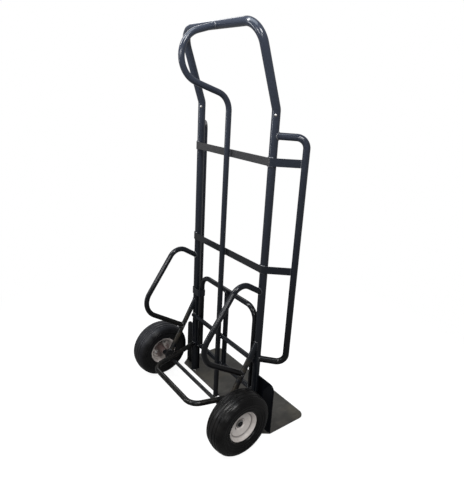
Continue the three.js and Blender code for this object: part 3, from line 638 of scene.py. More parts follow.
# ------------------------------------------------------------------ toe plate
# A 5 mm steel plate, plasma cut with round front corners and slanted heel corners, in a
# coarser, duller black than the tubes and rubbed by loads sliding on and off.
toe_low, toe_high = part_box("toe_plate")
TOE_CORNER_RADIUS = 0.031
TOE_CUT_INWARD = 0.027
TOE_CUT_FORWARD = 0.037
TOE_DARK = (0.036, 0.0345, 0.031)
TOE_LIGHT = (0.058, 0.055, 0.050)
TOE_TARNISH = (0.072, 0.064, 0.046)
TOE_WORN = (0.085, 0.081, 0.073)
TOE_RELIEF = 0.0001
PLATE_EDGE = 0.0008
SAME_PLACE = 1e-4


def toe_enamel_finish():
    """Thin matt black on mill scale: cloudy, with rubbed streaks along the way loads slide."""
    material, tree, place = new_shader("toe_enamel")
    stretched = tree.node("ShaderNodeMapping", None, {"Vector": place, "Scale": (1.0, 0.16, 1.0)})
    cloud = tree.noise(place, 14, 4, 0.6)
    streak = tree.noise(stretched, 120, 3, 0.6)
    grit = tree.noise(place, 480, 2)
    worn = streak.step(0.55, 0.72)
    colour = cloud.step(0.3, 0.72).blend(TOE_DARK, TOE_LIGHT)
    tarnish = tree.noise(place, 7, 3, 0.6).step(0.45, 0.62)
    colour = (tarnish * 0.45).blend(colour, TOE_TARNISH)
    colour = (worn * 0.35).blend(colour, TOE_WORN)
    roughness = 0.52 + cloud * 0.14 - worn * 0.08
    shade(tree, colour, roughness, grit + cloud * 2, TOE_RELIEF, ior_level=0.4)
    return material


def block(low, high):
    """A block between two corners, in edit mode with all of it selected."""
    deselect()
    bpy.ops.mesh.primitive_cube_add(size=1, location=(low + high) / 2)
    bpy.context.object.scale = high - low
    bpy.ops.object.transform_apply(location=True, rotation=True, scale=True)
    bpy.ops.object.mode_set(mode="EDIT")
    bpy.ops.mesh.select_all(action="SELECT")


def round_corners(wanted, radius, segments=10):
    """Rounds the edges whose middle satisfies the test, with the piece in edit mode."""
    mesh = bmesh.from_edit_mesh(bpy.context.object.data)
    bpy.ops.mesh.select_all(action="DESELECT")
    bpy.ops.mesh.select_mode(type="EDGE")
    for edge in mesh.edges:
        edge.select_set(wanted((edge.verts[0].co + edge.verts[1].co) / 2))
    bmesh.update_edit_mesh(bpy.context.object.data)
    bpy.ops.mesh.bevel(offset=radius, segments=segments, affect="EDGES")


toe_enamel = toe_enamel_finish()
block(toe_low, toe_high)
round_corners(
    lambda p: abs(abs(p.x) - toe_high.x) < SAME_PLACE and abs(p.y - toe_high.y) < SAME_PLACE,
    TOE_CORNER_RADIUS,
)
for sign in (-1, 1):
    bpy.ops.mesh.select_all(action="SELECT")
    bpy.ops.mesh.bisect(
        plane_co=(sign * toe_high.x, toe_low.y + TOE_CUT_FORWARD, 0),
        plane_no=Vector((sign * TOE_CUT_FORWARD, -TOE_CUT_INWARD, 0)).normalized(),
        use_fill=True, clear_outer=True,
    )
toe = ease_edges(close_up(), PLATE_EDGE)
settle(toe, "toe_plate_steel", toe_enamel, "toe_enamel", "frame", "toe_plate")


# ------------------------------------------------------------------ toe brackets
# A 5.5 mm upright plate on the front of each rail, welded down to the toe plate and rounded
# at its top outer corner. It is clean and less glossy than the tubes.
BRACKET_CORNER = 0.024
BRACKET_BLACK = (0.0026, 0.0032, 0.0046)
BRACKET_PAINTED_SHEEN = (0.0275, 0.0335, 0.0480)
bracket_low, bracket_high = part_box("right_toe_bracket")
block(bracket_low, bracket_high)
round_corners(
    lambda p: abs(p.x - bracket_high.x) < SAME_PLACE and abs(p.z - bracket_high.z) < SAME_PLACE,
    BRACKET_CORNER,
)
bracket = ease_edges(close_up(), PLATE_EDGE)
# Its enamel runs from a blacker low end to a painted reflection higher up, both darker than the
# tubes'.
bracket_enamel = black_enamel(
    "bracket_enamel", BRACKET_PAINTED_SHEEN, 0.08, dust_and_reflection_share=0.05, deep=BRACKET_BLACK,
)
settle_pair(bracket, "bracket_plate", bracket_enamel, "enamel", "frame", "toe_bracket")


# ------------------------------------------------------------------ tyres
# Ribbed 10-inch pneumatic tyres of black rubber, moulded with a raised bead ring, a bulged
# sidewall, a shoulder step and five smooth ribs with grooves between them.
WHEEL_STEPS = 120
MM = 1000
EDGE_SHARE = 0.48
LINE_MERGE = 2e-5
SPIN_MERGE = 5e-6
RUBBER_DARK = (0.0022, 0.0021, 0.0022)
RUBBER_BLOOM = (0.0048, 0.0046, 0.0047)
ROAD_DUST = (0.024, 0.022, 0.020)
PAINTED_TREAD_LIGHT_GREY = (0.030, 0.031, 0.037)
RUBBER_RELIEF = 0.00008
wheel_centre = Vector((WHEEL_X, AXLE_Y, AXLE_Z))


def eased(outline, steps=4):
    """The outline with its corners rounded: each point is (radius, along, rounding)."""
    points = []
    for i, (radius, along, rounding) in enumerate(outline):
        corner = Vector((radius, along))
        if not rounding:
            points.append(corner)
            continue
        before = Vector(outline[i - 1][:2]) - corner
        after = Vector(outline[(i + 1) % len(outline)][:2]) - corner
        start = corner + before.normalized() * min(rounding, before.length * EDGE_SHARE)
        end = corner + after.normalized() * min(rounding, after.length * EDGE_SHARE)
        for k in range(steps + 1):
            t = k / steps
            points.append(start * (1 - t) ** 2 + corner * 2 * t * (1 - t) + end * t ** 2)
    return points


def mirrored(outline):
    """The other half of an outline that is the same to both sides of its middle."""
    return [(radius, -along, rounding) for radius, along, rounding in reversed(outline)]


def draw_outline(points, closed=True):
    """Draws a line from point to point, starting from a small plane merged to one vertex."""
    deselect()
    bpy.ops.mesh.primitive_plane_add(size=0.001, location=points[0])
    bpy.ops.object.transform_apply(location=True, rotation=True, scale=True)
    bpy.ops.object.mode_set(mode="EDIT")
    bpy.ops.mesh.select_mode(type="VERT")
    bpy.ops.mesh.select_all(action="SELECT")
    bpy.ops.mesh.merge(type="CENTER")
    ends = points[1:] + points[:1] if closed else points[1:]
    for start, end in zip(points, ends):
        bpy.ops.mesh.extrude_region_move(TRANSFORM_OT_translate={"value": tuple(end - start)})
    bpy.ops.mesh.select_all(action="SELECT")
    bpy.ops.mesh.remove_doubles(threshold=LINE_MERGE)


def turned(outline, centre, axis=SIDEWAYS, steps=WHEEL_STEPS, smooth=35):
    """A piece spun about an axis from a closed outline in millimetres, as eased takes it."""
    outward = UP if abs(axis.z) < 0.5 else Vector((0, 1, 0))
    outward = (outward - axis * outward.dot(axis)).normalized()
    draw_outline([centre + (axis * p.y + outward * p.x) / MM for p in eased(outline)])
    bpy.ops.mesh.spin(steps=steps, angle=2 * math.pi, center=centre, axis=axis)
    bpy.ops.mesh.select_all(action="SELECT")
    bpy.ops.mesh.remove_doubles(threshold=SPIN_MERGE)
    bpy.ops.mesh.delete_loose()
    return close_up(smooth)


def from_axle(place):
    """The three coordinates of a place and its distance from the axle line."""
    x, y, z = (place.part(k) for k in range(3))
    return x, y, z, ((y - AXLE_Y) ** 2 + (z - AXLE_Z) ** 2) ** 0.5


def tyre_rubber():
    """Black tyre rubber with a grey bloom, road dust on the tread and painted light on the left
    wheel's tread and upper side.
    """
    material, tree, place = new_shader("tyre_rubber")
    x, y, z, radius = from_axle(place)
    bloom = tree.noise(place, 24, 4, 0.6)
    grain = tree.noise(place, 700, 2)
    tread = radius.step(0.112, 0.122)
    dust = bloom.step(0.45, 0.72) * (0.25 + tread * 0.35)
    colour = bloom.step(0.3, 0.7).blend(RUBBER_DARK, RUBBER_BLOOM)
    colour = (dust * 0.3).blend(colour, ROAD_DUST)
    # Painted light on the left wheel: most on its tread and on its upper side.
    left = 1 - x.step(-0.10, 0.10)
    painted_tread_light = left * (0.2 + radius.step(0.108, 0.120) * 0.8)
    painted_tread_light = painted_tread_light * (0.4 + (z - AXLE_Z).step(0.02, 0.10) * 0.6)
    colour = (painted_tread_light * 0.6).blend(colour, PAINTED_TREAD_LIGHT_GREY)
    roughness = 0.21 + bloom * 0.14 + dust * 0.14
    shade(tree, colour, roughness, grain * 0.6 + bloom * 2, RUBBER_RELIEF, ior_level=0.2)
    return material


TYRE_OUTSIDE = [
    (56.3, 21.9, 0), (56.3, 30.9, 1), (64.4, 31.4, 1), (65.6, 38.5, 2), (68.0, 42.0, 2.5),
    (76.0, 44.6, 2), (78.0, 43.6, 1), (84.0, 45.0, 3), (85.2, 45.9, .6), (86.6, 45.9, .6),
    (87.6, 45.2, .6), (96.0, 45.9, 3), (97.2, 46.9, .6), (98.8, 46.9, .6), (99.8, 45.9, .6),
    (106.0, 45.1, 3), (107.6, 43.4, 1), (110.6, 42.9, 1.2), (112.4, 40.6, 1), (115.2, 40.2, 1.2),
    (117.2, 37.6, 1), (119.4, 36.9, 1.2), (121.6, 33.2, 1.2), (123.6, 31.6, 1.2), (124.6, 26.4, 1.2),
    (122.6, 25.4, 1), (122.7, 23.0, 1), (126.0, 21.8, 1.6), (127.4, 11.8, 1.4),
    (125.0, 10.6, 1), (125.0, 8.0, 1), (128.0, 6.8, 1.6),
]
TYRE_CROWN = [(128.4, 0, 0)]
TYRE_INSIDE = [(118.5, 23, 0), (96.5, 40, 0), (66.5, 33, 0)]
rubber = tyre_rubber()
tyre_outline = (
    TYRE_OUTSIDE + TYRE_CROWN + mirrored(TYRE_OUTSIDE) + mirrored(TYRE_INSIDE) + TYRE_INSIDE
)
tyre = turned(tyre_outline, wheel_centre)
settle_pair(tyre, "ribbed_tyre", rubber, "rubber", "{side}_wheel", "tyre")


# ------------------------------------------------------------------ rims and hubs
# Each rim is two pressed steel halves bolted together round a hub tube. The outer half has
# a rolled lip, a cone, a pressed crease and a dished disc with a well round the hub.
RIM_GREY = (0.55, 0.508, 0.480)
RIM_PALE = (0.61, 0.568, 0.545)
RIM_GRIME_AND_PAINTED_SHADE = (0.035, 0.028, 0.025)
RIM_RUST = (0.105, 0.07, 0.066)
RIM_CHIP = (0.14, 0.12, 0.11)
RIM_RELIEF = 0.00006
INBOARD_FACE = (WHEEL_X + 0.0072, WHEEL_X + 0.0092)


def rim_enamel_finish():
    """Warm light grey enamel: painted shade with some grime round the hub, in the crease and
    on the shadow side of the well, small chips, and rusty brown stains on the inboard half."""
    material, tree, place = new_shader("rim_enamel")
    x, y, z, radius = from_axle(place)
    inboard = 1 - x.maths("ABSOLUTE", x).step(*INBOARD_FACE)
    cloud = tree.noise(place, 30, 4, 0.6)
    chip = tree.noise(place, 160, 2, 0.6)
    grain = tree.noise(place, 520, 1)
    near_hub = 1 - radius.step(0.016, 0.019)
    crease = radius.step(0.046, 0.049) * (1 - radius.step(0.050, 0.053))
    wall = radius.step(0.0195, 0.0215) * (1 - radius.step(0.0255, 0.0275))
    shaded = ((AXLE_Y - y) + (z - AXLE_Z)).step(-0.004, 0.016)
    # Painted shade with some grime: darker round the hub, in the crease and on the shadow side of the
    # well's wall.
    grime_and_painted_shade = (near_hub * 0.75).most(crease * 0.65).most(wall * shaded) * cloud.step(0.1, 0.4)
    brown = cloud.step(0.44, 0.56).most(1 - radius.step(0.017, 0.026))
    stain = inboard * brown * (1 - radius.step(0.046, 0.054) * 0.6) * 0.9
    colour = cloud.step(0.3, 0.7).blend(RIM_GREY, RIM_PALE)
    colour = grime_and_painted_shade.blend(colour, RIM_GRIME_AND_PAINTED_SHADE)
    colour = stain.blend(colour, RIM_RUST)
    colour = (chip.step(0.74, 0.76) * 0.5).blend(colour, RIM_CHIP)
    roughness = 0.22 + cloud * 0.12 + grime_and_painted_shade * 0.2
    shade(tree, colour, roughness, grain + cloud * 3, RIM_RELIEF)
    return material


RIM_LIP = [
    (56.0, 31.5, 0), (60.0, 33.0, .8), (62.6, 33.0, .5), (63.0, 34.2, .6), (61.8, 35.5, .9),
    (59.2, 35.3, 1),
]
OUTER_FACE = [
    (54.6, 30.4, 1.2), (50.6, 20.6, 1.0), (48.4, 18.4, .8), (46.8, 19.6, 1.0), (40.0, 17.8, 3),
    (24.5, 15.2, 1.6), (21.2, 10.4, 1.2), (15.3, 9.6, 0),
]
OUTER_BACK = [
    (15.3, 7.0, 0), (22.2, 7.8, 1), (26.0, 12.6, 1.5), (46.0, 16.6, 1.5), (52.0, 18.5, 1),
    (53.5, 12.0, 0), (56.0, 12.0, 0),
]
INNER_FACE = [
    (15.3, 4.2, 0), (49.0, 4.2, 2), (52.6, -0.5, 2), (54.2, -30.3, 1.2),
]
INNER_BACK = [(56.0, 11.7, 0), (53.4, 11.4, 1), (50.5, 6.7, 1), (15.3, 6.7, 0)]
HUB_OUTLINE = [(12.5, 12.0, .4), (15.0, 12.0, .6), (15.0, -45.0, .6), (12.5, -45.0, .4)]
rim_enamel = rim_enamel_finish()
outer_half = turned(RIM_LIP + OUTER_FACE + OUTER_BACK, wheel_centre)
settle_pair(outer_half, "rim_disc", rim_enamel, "rim_enamel", "{side}_wheel", "outer_rim")
inner_half = turned(INNER_FACE + mirrored(RIM_LIP) + INNER_BACK, wheel_centre)
settle_pair(inner_half, "rim_back", rim_enamel, "rim_enamel", "{side}_wheel", "inner_rim")
hub = turned(HUB_OUTLINE, wheel_centre, steps=48)
settle_pair(hub, "hub_tube", rim_enamel, "rim_enamel", "{side}_wheel", "hub")


# ------------------------------------------------------------------ axle and its hardware
# A 16 mm black axle grooved near its ends, spacers inboard of the wheels and zinc-plated
# washers outboard, held by retaining rings. Each hub turns on two shielded ball bearings.
ZINC_DARK = (0.46, 0.46, 0.47)
ZINC_LIGHT = (0.60, 0.60, 0.60)
ZINC_STAIN = (0.19, 0.175, 0.155)
ZINC_RELIEF = 0.00004
axle_middle = Vector((0, AXLE_Y, AXLE_Z))


def zinc_finish():
    """Dull zinc plate: faint spangle, a fine grain and darker handling stains."""
    material, tree, place = new_shader("zinc_plate")
    spangle = tree.noise(place, 210, 2, 0.5)
    stain = tree.noise(place, 60, 3, 0.6)
    fine = tree.noise(place, 900, 1)
    colour = spangle.step(0.3, 0.7).blend(ZINC_DARK, ZINC_LIGHT)
    colour = (stain.step(0.42, 0.60) * 0.7).blend(colour, ZINC_STAIN)
    roughness = 0.30 + stain * 0.22
    shade(tree, colour, roughness, fine, ZINC_RELIEF, metallic=0.9)
    return material


def collar(node, bore, edge):
    """A plain ring on the axle line with eased edges, as long and as wide as its CAD node."""
    low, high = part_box(node)
    outside = (high.z - low.z) / 2 * MM
    start, end = low.x * MM, high.x * MM
    outline = [(bore, start, edge), (outside, start, edge), (outside, end, edge), (bore, end, edge)]
    return turned(outline, axle_middle, steps=64)


zinc = zinc_finish()
AXLE_RADIUS = 8.0
AXLE_GROOVE_RADIUS = 6.5
AXLE_CHAMFER = 1.2
GROOVE_PLAY_IN = 0.15
GROOVE_PLAY_OUT = 0.35
BORE = 8.3
RING_BORE = 6.8
axle_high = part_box("axle")[1]
ring_low, ring_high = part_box("right_retaining_ring")
axle_end = axle_high.x * MM
groove_in = ring_low.x * MM - GROOVE_PLAY_IN
groove_out = ring_high.x * MM + GROOVE_PLAY_OUT
axle_half = [
    (AXLE_RADIUS, groove_in, 0), (AXLE_GROOVE_RADIUS, groove_in, 0.2),
    (AXLE_GROOVE_RADIUS, groove_out, 0.2), (AXLE_RADIUS, groove_out, 0.2),
    (AXLE_RADIUS, axle_end - AXLE_CHAMFER, 0.3), (AXLE_RADIUS - AXLE_CHAMFER, axle_end, 0.3),
    (0, axle_end, 0),
]
axle = turned(axle_half + mirrored(axle_half), axle_middle, steps=64)
settle(axle, "axle_bar", enamel, "enamel", "frame", "axle")
spacer = collar("right_axle_spacer", BORE, 0.6)
settle_pair(spacer, "spacer_tube", enamel, "enamel", "frame", "axle_spacer")
washer = collar("right_washer", BORE, 0.35)
settle_pair(washer, "axle_washer", zinc, "steel", "frame", "washer")
clip = collar("right_retaining_ring", RING_BORE, 0.3)
settle_pair(clip, "axle_clip", enamel, "steel", "frame", "retaining_ring")

BEARING_SHIELD = 0.5
BEARING_GAP = 0.02
for place_name in ("outer", "inner"):
    bearing_low, bearing_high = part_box(f"right_{place_name}_bearing")
    face_in, face_out = bearing_low.x * MM + BEARING_GAP, bearing_high.x * MM - BEARING_GAP
    race = (bearing_high.z - bearing_low.z) / 2 * MM
    bearing_face = [
        (BORE, 0, 0.3), (9.4, 0, 0.15), (9.5, BEARING_SHIELD, 0), (race - 1.3, BEARING_SHIELD, 0),
        (race - 1.2, 0, 0.15), (race, 0, 0.3),
    ]
    bearing_outline = [(r, face_in + x, e) for r, x, e in bearing_face]
    bearing_outline += [(r, face_out - x, e) for r, x, e in reversed(bearing_face)]
    bearing = turned(bearing_outline, axle_middle, steps=48)
    settle_pair(
        bearing, f"{place_name}_ball_bearing", zinc, "steel", "{side}_wheel", f"{place_name}_bearing",
    )


# ------------------------------------------------------------------ rim bolts and valves
# Four studs through both rim halves with flanged hex nuts on the inboard side, zinc plated,
# and a rubber valve with a plain cap through the inner half.
STUD_RADIUS = 3.0
STUD_CHAMFER = 0.6
THREADS = 3
THREAD_START = 0.5
THREAD_PITCH = 1.0
THREAD_DEPTH = 0.4
NUT_FROM_TIP = 8.0
NUT_HEIGHT = 5.0
NUT_HALF_WIDTH = 6.4
NUT_FLANGE_RADIUS = 7.4


def join(pieces):
    """Joins several pieces into the first of them."""
    deselect()
    for piece in pieces:
        piece.select_set(True)
    bpy.context.view_layer.objects.active = pieces[0]
    bpy.ops.object.join()
    return pieces[0]


bolt_boxes = [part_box(f"right_rim_bolt_{number}") for number in range(1, 5)]
bolt_centres = [Vector((0, (low.y + high.y) / 2, (low.z + high.z) / 2)) for low, high in bolt_boxes]
stud_in, stud_out = [corner.x * MM for corner in bolt_boxes[0]]
nut_face = stud_in + NUT_FROM_TIP
nut_end = nut_face - NUT_HEIGHT
nut_outline = [
    (STUD_RADIUS, nut_face, 0), (NUT_FLANGE_RADIUS, nut_face, 0.2),
    (NUT_FLANGE_RADIUS - 0.2, nut_face - 0.9, 0.2), (NUT_HALF_WIDTH, nut_face - 1.2, 0),
    (NUT_HALF_WIDTH, nut_end + 0.6, 0.1), (NUT_HALF_WIDTH - 0.8, nut_end, 0.1),
    (STUD_RADIUS, nut_end, 0),
]
nut = turned(nut_outline, bolt_centres[0], steps=6, smooth=20)
stud_outline = [(0, stud_in, 0), (STUD_RADIUS - STUD_CHAMFER, stud_in, 0)]
for turn in range(THREADS):
    root = stud_in + THREAD_START + turn * THREAD_PITCH
    stud_outline += [(STUD_RADIUS - THREAD_DEPTH, root, 0), (STUD_RADIUS, root + THREAD_PITCH / 2, 0)]
thread_end = stud_in + THREAD_START + THREADS * THREAD_PITCH
stud_outline += [(STUD_RADIUS, thread_end, 0), (STUD_RADIUS, stud_out, 0.3), (0, stud_out, 0)]
stud = turned(stud_outline, bolt_centres[0], steps=24)
bolts = [join([stud, nut])]
for centre in bolt_centres[1:]:
    bolts.append(copied(bolts[0], Matrix.Translation(centre - bolt_centres[0])))
for number, bolt in enumerate(bolts, 1):
    settle_pair(
        bolt, f"rim_stud_and_nut_{number}", zinc, "steel", "{side}_wheel", f"rim_bolt_{number}",
    )

valve_low, valve_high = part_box("right_valve_stem")
valve_foot = Vector(((valve_low.x + valve_high.x) / 2, AXLE_Y, AXLE_Z))
valve_tip, valve_base = (valve_low.z - AXLE_Z) * MM, (valve_high.z - AXLE_Z) * MM
valve_outline = [
    (0, valve_tip, 0), (2.9, valve_tip, 0.6), (3.2, valve_tip + 6.0, 0.3), (2.5, valve_tip + 6.4, 0.1),
    (2.6, valve_tip + 8.0, 0.2), (3.9, valve_tip + 9.5, 0.6), (3.95, valve_base - 4.0, 0.2),
    (6.8, valve_base - 3.8, 0.3), (6.6, valve_base - 1.4, 0.5), (0, valve_base, 0),
]
valve = turned(valve_outline, valve_foot, UP, steps=24)
settle_pair(valve, "tyre_valve", rubber, "rubber", "{side}_wheel", "valve_stem")


# ------------------------------------------------------------------ handle rivets
# A zinc-plated rivet through each rail and the spigot inside it, domed at both ends. One
# head points to the rear and the right, and the other to the front and the left.
RIVET_TURN = math.radians(45)
rivet_axis = Vector((-math.sin(RIVET_TURN), math.cos(RIVET_TURN), 0))
RIVET_SEAT = 15.15
RIVET_TOP = 17.9
RIVET_HEAD_RADIUS = 5.0
RIVET_SHANK_RADIUS = 2.4
rivet_half = [
    (RIVET_SHANK_RADIUS, RIVET_SEAT, 0), (RIVET_HEAD_RADIUS, RIVET_SEAT, 0.2),
    (RIVET_HEAD_RADIUS - 0.3, RIVET_SEAT + 0.8, 0.5), (2.6, RIVET_TOP - 0.4, 1.0), (0, RIVET_TOP, 0),
]
rivet_low, rivet_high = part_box("left_handle_rivet")
left_place = (rivet_low + rivet_high) / 2
left_rivet = turned(rivet_half + mirrored(rivet_half), left_place, rivet_axis, steps=32)
right_rivet = copied(left_rivet, Matrix.Translation(SIDEWAYS * (-2 * left_place.x)))
settle(left_rivet, "left_domed_rivet", zinc, "steel", "frame", "left_handle_rivet")
settle(right_rivet, "right_domed_rivet", zinc, "steel", "frame", "right_handle_rivet")


# ------------------------------------------------------------------ axle and nose lugs
# Flame-cut plates with a round end: an 8 mm one below each strut carries the axle and a
# 4 mm one inside each rail carries the nose hinge.
LUG_RADIUS = 0.017
NOSE_LUG_RADIUS = 0.0115
STRUT_GAP = 0.0003
LUG_EDGE = 0.0006
NOSE_LUG_EDGE = 0.0005


def cut_plate(outline, through, edge):
    """A plate cut to a flat outline and as thick as the vector through it."""
    draw_outline(outline)
    bpy.ops.mesh.edge_face_add()
    bpy.ops.mesh.extrude_region_move(TRANSFORM_OT_translate={"value": tuple(through)})
    return ease_edges(close_up(), edge)


def round_ended(centre, forward, sideways, radius, tail, steps=20):
    """The outline of a plate with a half-round end and a square tail."""
    points = [centre - forward * tail + sideways * radius]
    for k in range(steps + 1):
        turn = math.pi * (k / steps)
        points.append(centre + forward * math.sin(turn) * radius + sideways * math.cos(turn) * radius)
    return points + [centre - forward * tail - sideways * radius]


lug_depth = lug_high.x - lug_low.x
lug_outline = round_ended(
    axle_centre - SIDEWAYS * (lug_depth / 2), along_strut, along_strut.cross(SIDEWAYS),
    LUG_RADIUS, LUG_REACH - STRUT_GAP,
)
axle_lug = cut_plate(lug_outline, SIDEWAYS * lug_depth, LUG_EDGE)
settle_pair(axle_lug, "axle_lug_plate", enamel, "enamel", "frame", "axle_lug")

nose_lug_low, nose_lug_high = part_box("right_nose_lug")
nose_lug_outline = round_ended(
    Vector((nose_lug_low.x, NOSE_Y, HINGE_Z)), Vector((0, 1, 0)), UP,
    NOSE_LUG_RADIUS, NOSE_Y - nose_lug_low.y,
)
nose_lug = cut_plate(
    nose_lug_outline, SIDEWAYS * (nose_lug_high.x - nose_lug_low.x), NOSE_LUG_EDGE,
)
settle_pair(nose_lug, "nose_lug_plate", enamel, "enamel", "frame", "nose_lug")


# ------------------------------------------------------------------ nose hinge and catch
# A solid hinge bar turns on a zinc-plated pin at each end. The catch is a flat strip bent
# round the left rail that hooks the arch's left leg when the extension is up.
HINGE_EDGE = 0.0008
PIN_EDGE = 0.0005


def hinge_rod(node, edge):
    """A solid rod on the hinge line, as long and as thick as its CAD node."""
    low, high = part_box(node)
    ends = [Vector((x, NOSE_Y, HINGE_Z)) for x in (low.x, high.x)]
    return ease_edges(round_bar(ends, [], (high.z - low.z) / 2), edge)


hinge = hinge_rod("nose_hinge_bar", HINGE_EDGE)
settle(hinge, "nose_hinge_rod", enamel, "enamel", "nose", "nose_hinge_bar")
pin = hinge_rod("right_nose_pin", PIN_EDGE)
settle_pair(pin, "nose_pin_rod", zinc, "steel", "frame", "nose_pin")

CATCH_THICKNESS = 0.003
CATCH_BEND = 0.012
CATCH_START = math.radians(130)
CATCH_LEAD = 0.001
catch_low, catch_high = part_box("nose_catch")
catch_z = (catch_low.z + catch_high.z) / 2
catch_wrap = RAIL_RADIUS + STRAP_GAP + CATCH_THICKNESS / 2
catch_turn = math.radians(270) - CATCH_START
catch_middle = CATCH_START + catch_turn / 2
catch_hub = Vector((-RAIL_X, RAIL_Y, catch_z))
catch_run = Vector((-math.sin(CATCH_START), math.cos(CATCH_START), 0))
catch_tip = Vector((math.cos(CATCH_START), math.sin(CATCH_START), 0)) * catch_wrap
catch_corner = Vector((math.cos(catch_middle), math.sin(catch_middle), 0))
catch_corner *= catch_wrap / math.cos(catch_turn / 2)
hook_x = catch_high.x - CATCH_THICKNESS / 2
catch = flat_bar(
    [
        catch_hub + catch_tip - catch_run * CATCH_LEAD, catch_hub + catch_corner,
        Vector((hook_x, RAIL_Y - catch_wrap, catch_z)), Vector((hook_x, catch_high.y, catch_z)),
    ],
    [catch_wrap, CATCH_BEND], CATCH_THICKNESS, catch_high.z - catch_low.z, STRAP_EDGE,
)
settle(catch, "nose_catch_strip", enamel, "enamel", "frame", "nose_catch")


# ------------------------------------------------------------------ weld beads
# Rippled fillets of MIG weld under the enamel wherever two pieces of the frame or of the
# nose extension meet, and one bare tack at the left rail's foot. A fatter bead fills the
# corner at each skid loop's foot.
# The weld enamel is painted lighter than the tubes' higher up, a painted highlight on the beads.
WELD_PAINTED_SHEEN = (0.105, 0.110, 0.125)
weld_enamel = black_enamel("weld_enamel", WELD_PAINTED_SHEEN, 0.6, dust_and_reflection_share=0.4, painted_sheen_power=1.1)
BEAD_RADIUS = 0.0024
FINE_BEAD = 0.0018
HEAVY_BEAD = 0.0026
BEAD_PITCH = 0.0024
BEAD_RIPPLE = (1.0, 1.22, 0.92, 1.12)
BEAD_PROUD = 0.0006
SEAM_PROUD = 0.0004


def weld_bead(points, closed=False, radius=BEAD_RADIUS):
    """A rippled bead of weld along a line of points, drawn as a line with a round bevel."""
    line = [points[0]]
    for end in points[1:] + (points[:1] if closed else []):
        gap = end - line[-1]
        steps = max(1, round(gap.length / BEAD_PITCH))
        for k in range(steps):
            line.append(line[-1] + gap / steps)
    if closed:
        line.pop()
    draw_outline(line, closed)
    bpy.ops.object.mode_set(mode="OBJECT")
    bpy.ops.object.convert(target="CURVE")
    bead = bpy.context.object
    bead.data.bevel_depth = radius
    bead.data.bevel_resolution = 2
    bead.data.use_fill_caps = True
    for k, point in enumerate(bead.data.splines[0].points):
        point.radius = BEAD_RIPPLE[k % len(BEAD_RIPPLE)]
    bpy.ops.object.convert(target="MESH")
    bpy.ops.object.mode_set(mode="EDIT")
    return close_up(70)


def saddle_bead(hub, along, radius, start, arm, arm_radius, bead=BEAD_RADIUS, steps=24):
    """A closed bead where the surface of an arm meets the surface of a round tube."""
    side_a = arm.orthogonal().normalized()
    side_b = arm.cross(side_a)
    points = []
    for k in range(steps):
        turn = 2 * math.pi * (k / steps)
        out = (side_a * math.cos(turn) + side_b * math.sin(turn)) * arm_radius
        offset = start + out - hub
        offset -= along * offset.dot(along)
        run = arm - along * arm.dot(along)
        half = run.dot(offset)
        inside = half ** 2 - run.dot(run) * (offset.dot(offset) - radius ** 2)
        points.append(start + out + arm * ((math.sqrt(max(0, inside)) - half) / run.dot(run)))
    return weld_bead(points, True, bead)


def ring_bead(centre, axis, radius, bead=BEAD_RADIUS, steps=28):
    """A closed bead round the end of a tube."""
    side_a = axis.orthogonal().normalized() * radius
    side_b = axis.cross(side_a)
    turns = [2 * math.pi * (k / steps) for k in range(steps)]
    points = [centre + side_a * math.cos(t) + side_b * math.sin(t) for t in turns]
    return weld_bead(points, True, bead)


def on_cross_bar(x, y, lift):
    """A point on the upper (1) or lower (-1) half of the lower cross tube's surface."""
    return Vector((x, y, cross_z + lift * math.sqrt(max(0, CROSS_RADIUS ** 2 - (y - cross_y) ** 2))))


# The joints on each rail and strut.
CROSS_ARCS = ((1, range(-75, -20, 7)), (-1, range(-20, -76, -7)))
CORNER_BEAD = 0.0052
CORNER_HALF_WIDTH = 0.007
CORNER_PROUD = 0.0015
LUG_BEAD_SUNK = 0.001
rail_hub = on_rail(0)
toe_top = toe_high.z
wing_arm = Vector((wing_out, wing_forward, 0)).normalized()
step_arm = (Vector((STEP_HALF_WIDTH, step_rear, 0)) - rail_hub).normalized()
skid_arm = (skid_corners[1] - skid_corners[0]).normalized()
foot_arm = (skid_corners[2] - skid_foot).normalized()
rail_joints = [
    (WING_TOP, wing_arm, WING_RADIUS), (WING_BOTTOM, wing_arm, WING_RADIUS),
    (SKID_START_Z, skid_arm, LOOP_RADIUS), (STRUT_TOP_Z, along_strut, LOOP_RADIUS),
    (step_z, step_arm, LOOP_RADIUS),
]
side_beads = [
    saddle_bead(rail_hub, UP, RAIL_RADIUS, on_rail(z), arm, arm_radius)
    for z, arm, arm_radius in rail_joints
]
cross_run = []
for lift, arc in CROSS_ARCS:
    for turn in map(math.radians, arc):
        x = RAIL_X - RAIL_RADIUS * math.cos(turn)
        y = RAIL_Y + RAIL_RADIUS * math.sin(turn)
        cross_run.append(on_cross_bar(x, y, lift))
side_beads.append(weld_bead(cross_run))
side_beads.append(saddle_bead(
    strut_top, along_strut, LOOP_RADIUS, skid_foot, foot_arm, LOOP_RADIUS, HEAVY_BEAD,
))
corner_reach = LOOP_RADIUS / math.sin(foot_arm.angle(along_strut) / 2) + CORNER_PROUD
corner = skid_foot + (foot_arm + along_strut).normalized() * corner_reach
corner_line = [corner + SIDEWAYS * x for x in (-CORNER_HALF_WIDTH, CORNER_HALF_WIDTH)]
side_beads.append(weld_bead(corner_line, radius=CORNER_BEAD))
side_beads.append(ring_bead(on_rail(toe_top + BEAD_PROUD), UP, RAIL_RADIUS))
lug_joint = axle_centre - along_strut * LUG_REACH
side_beads.append(ring_bead(lug_joint, along_strut, LOOP_RADIUS - LUG_BEAD_SUNK, HEAVY_BEAD))

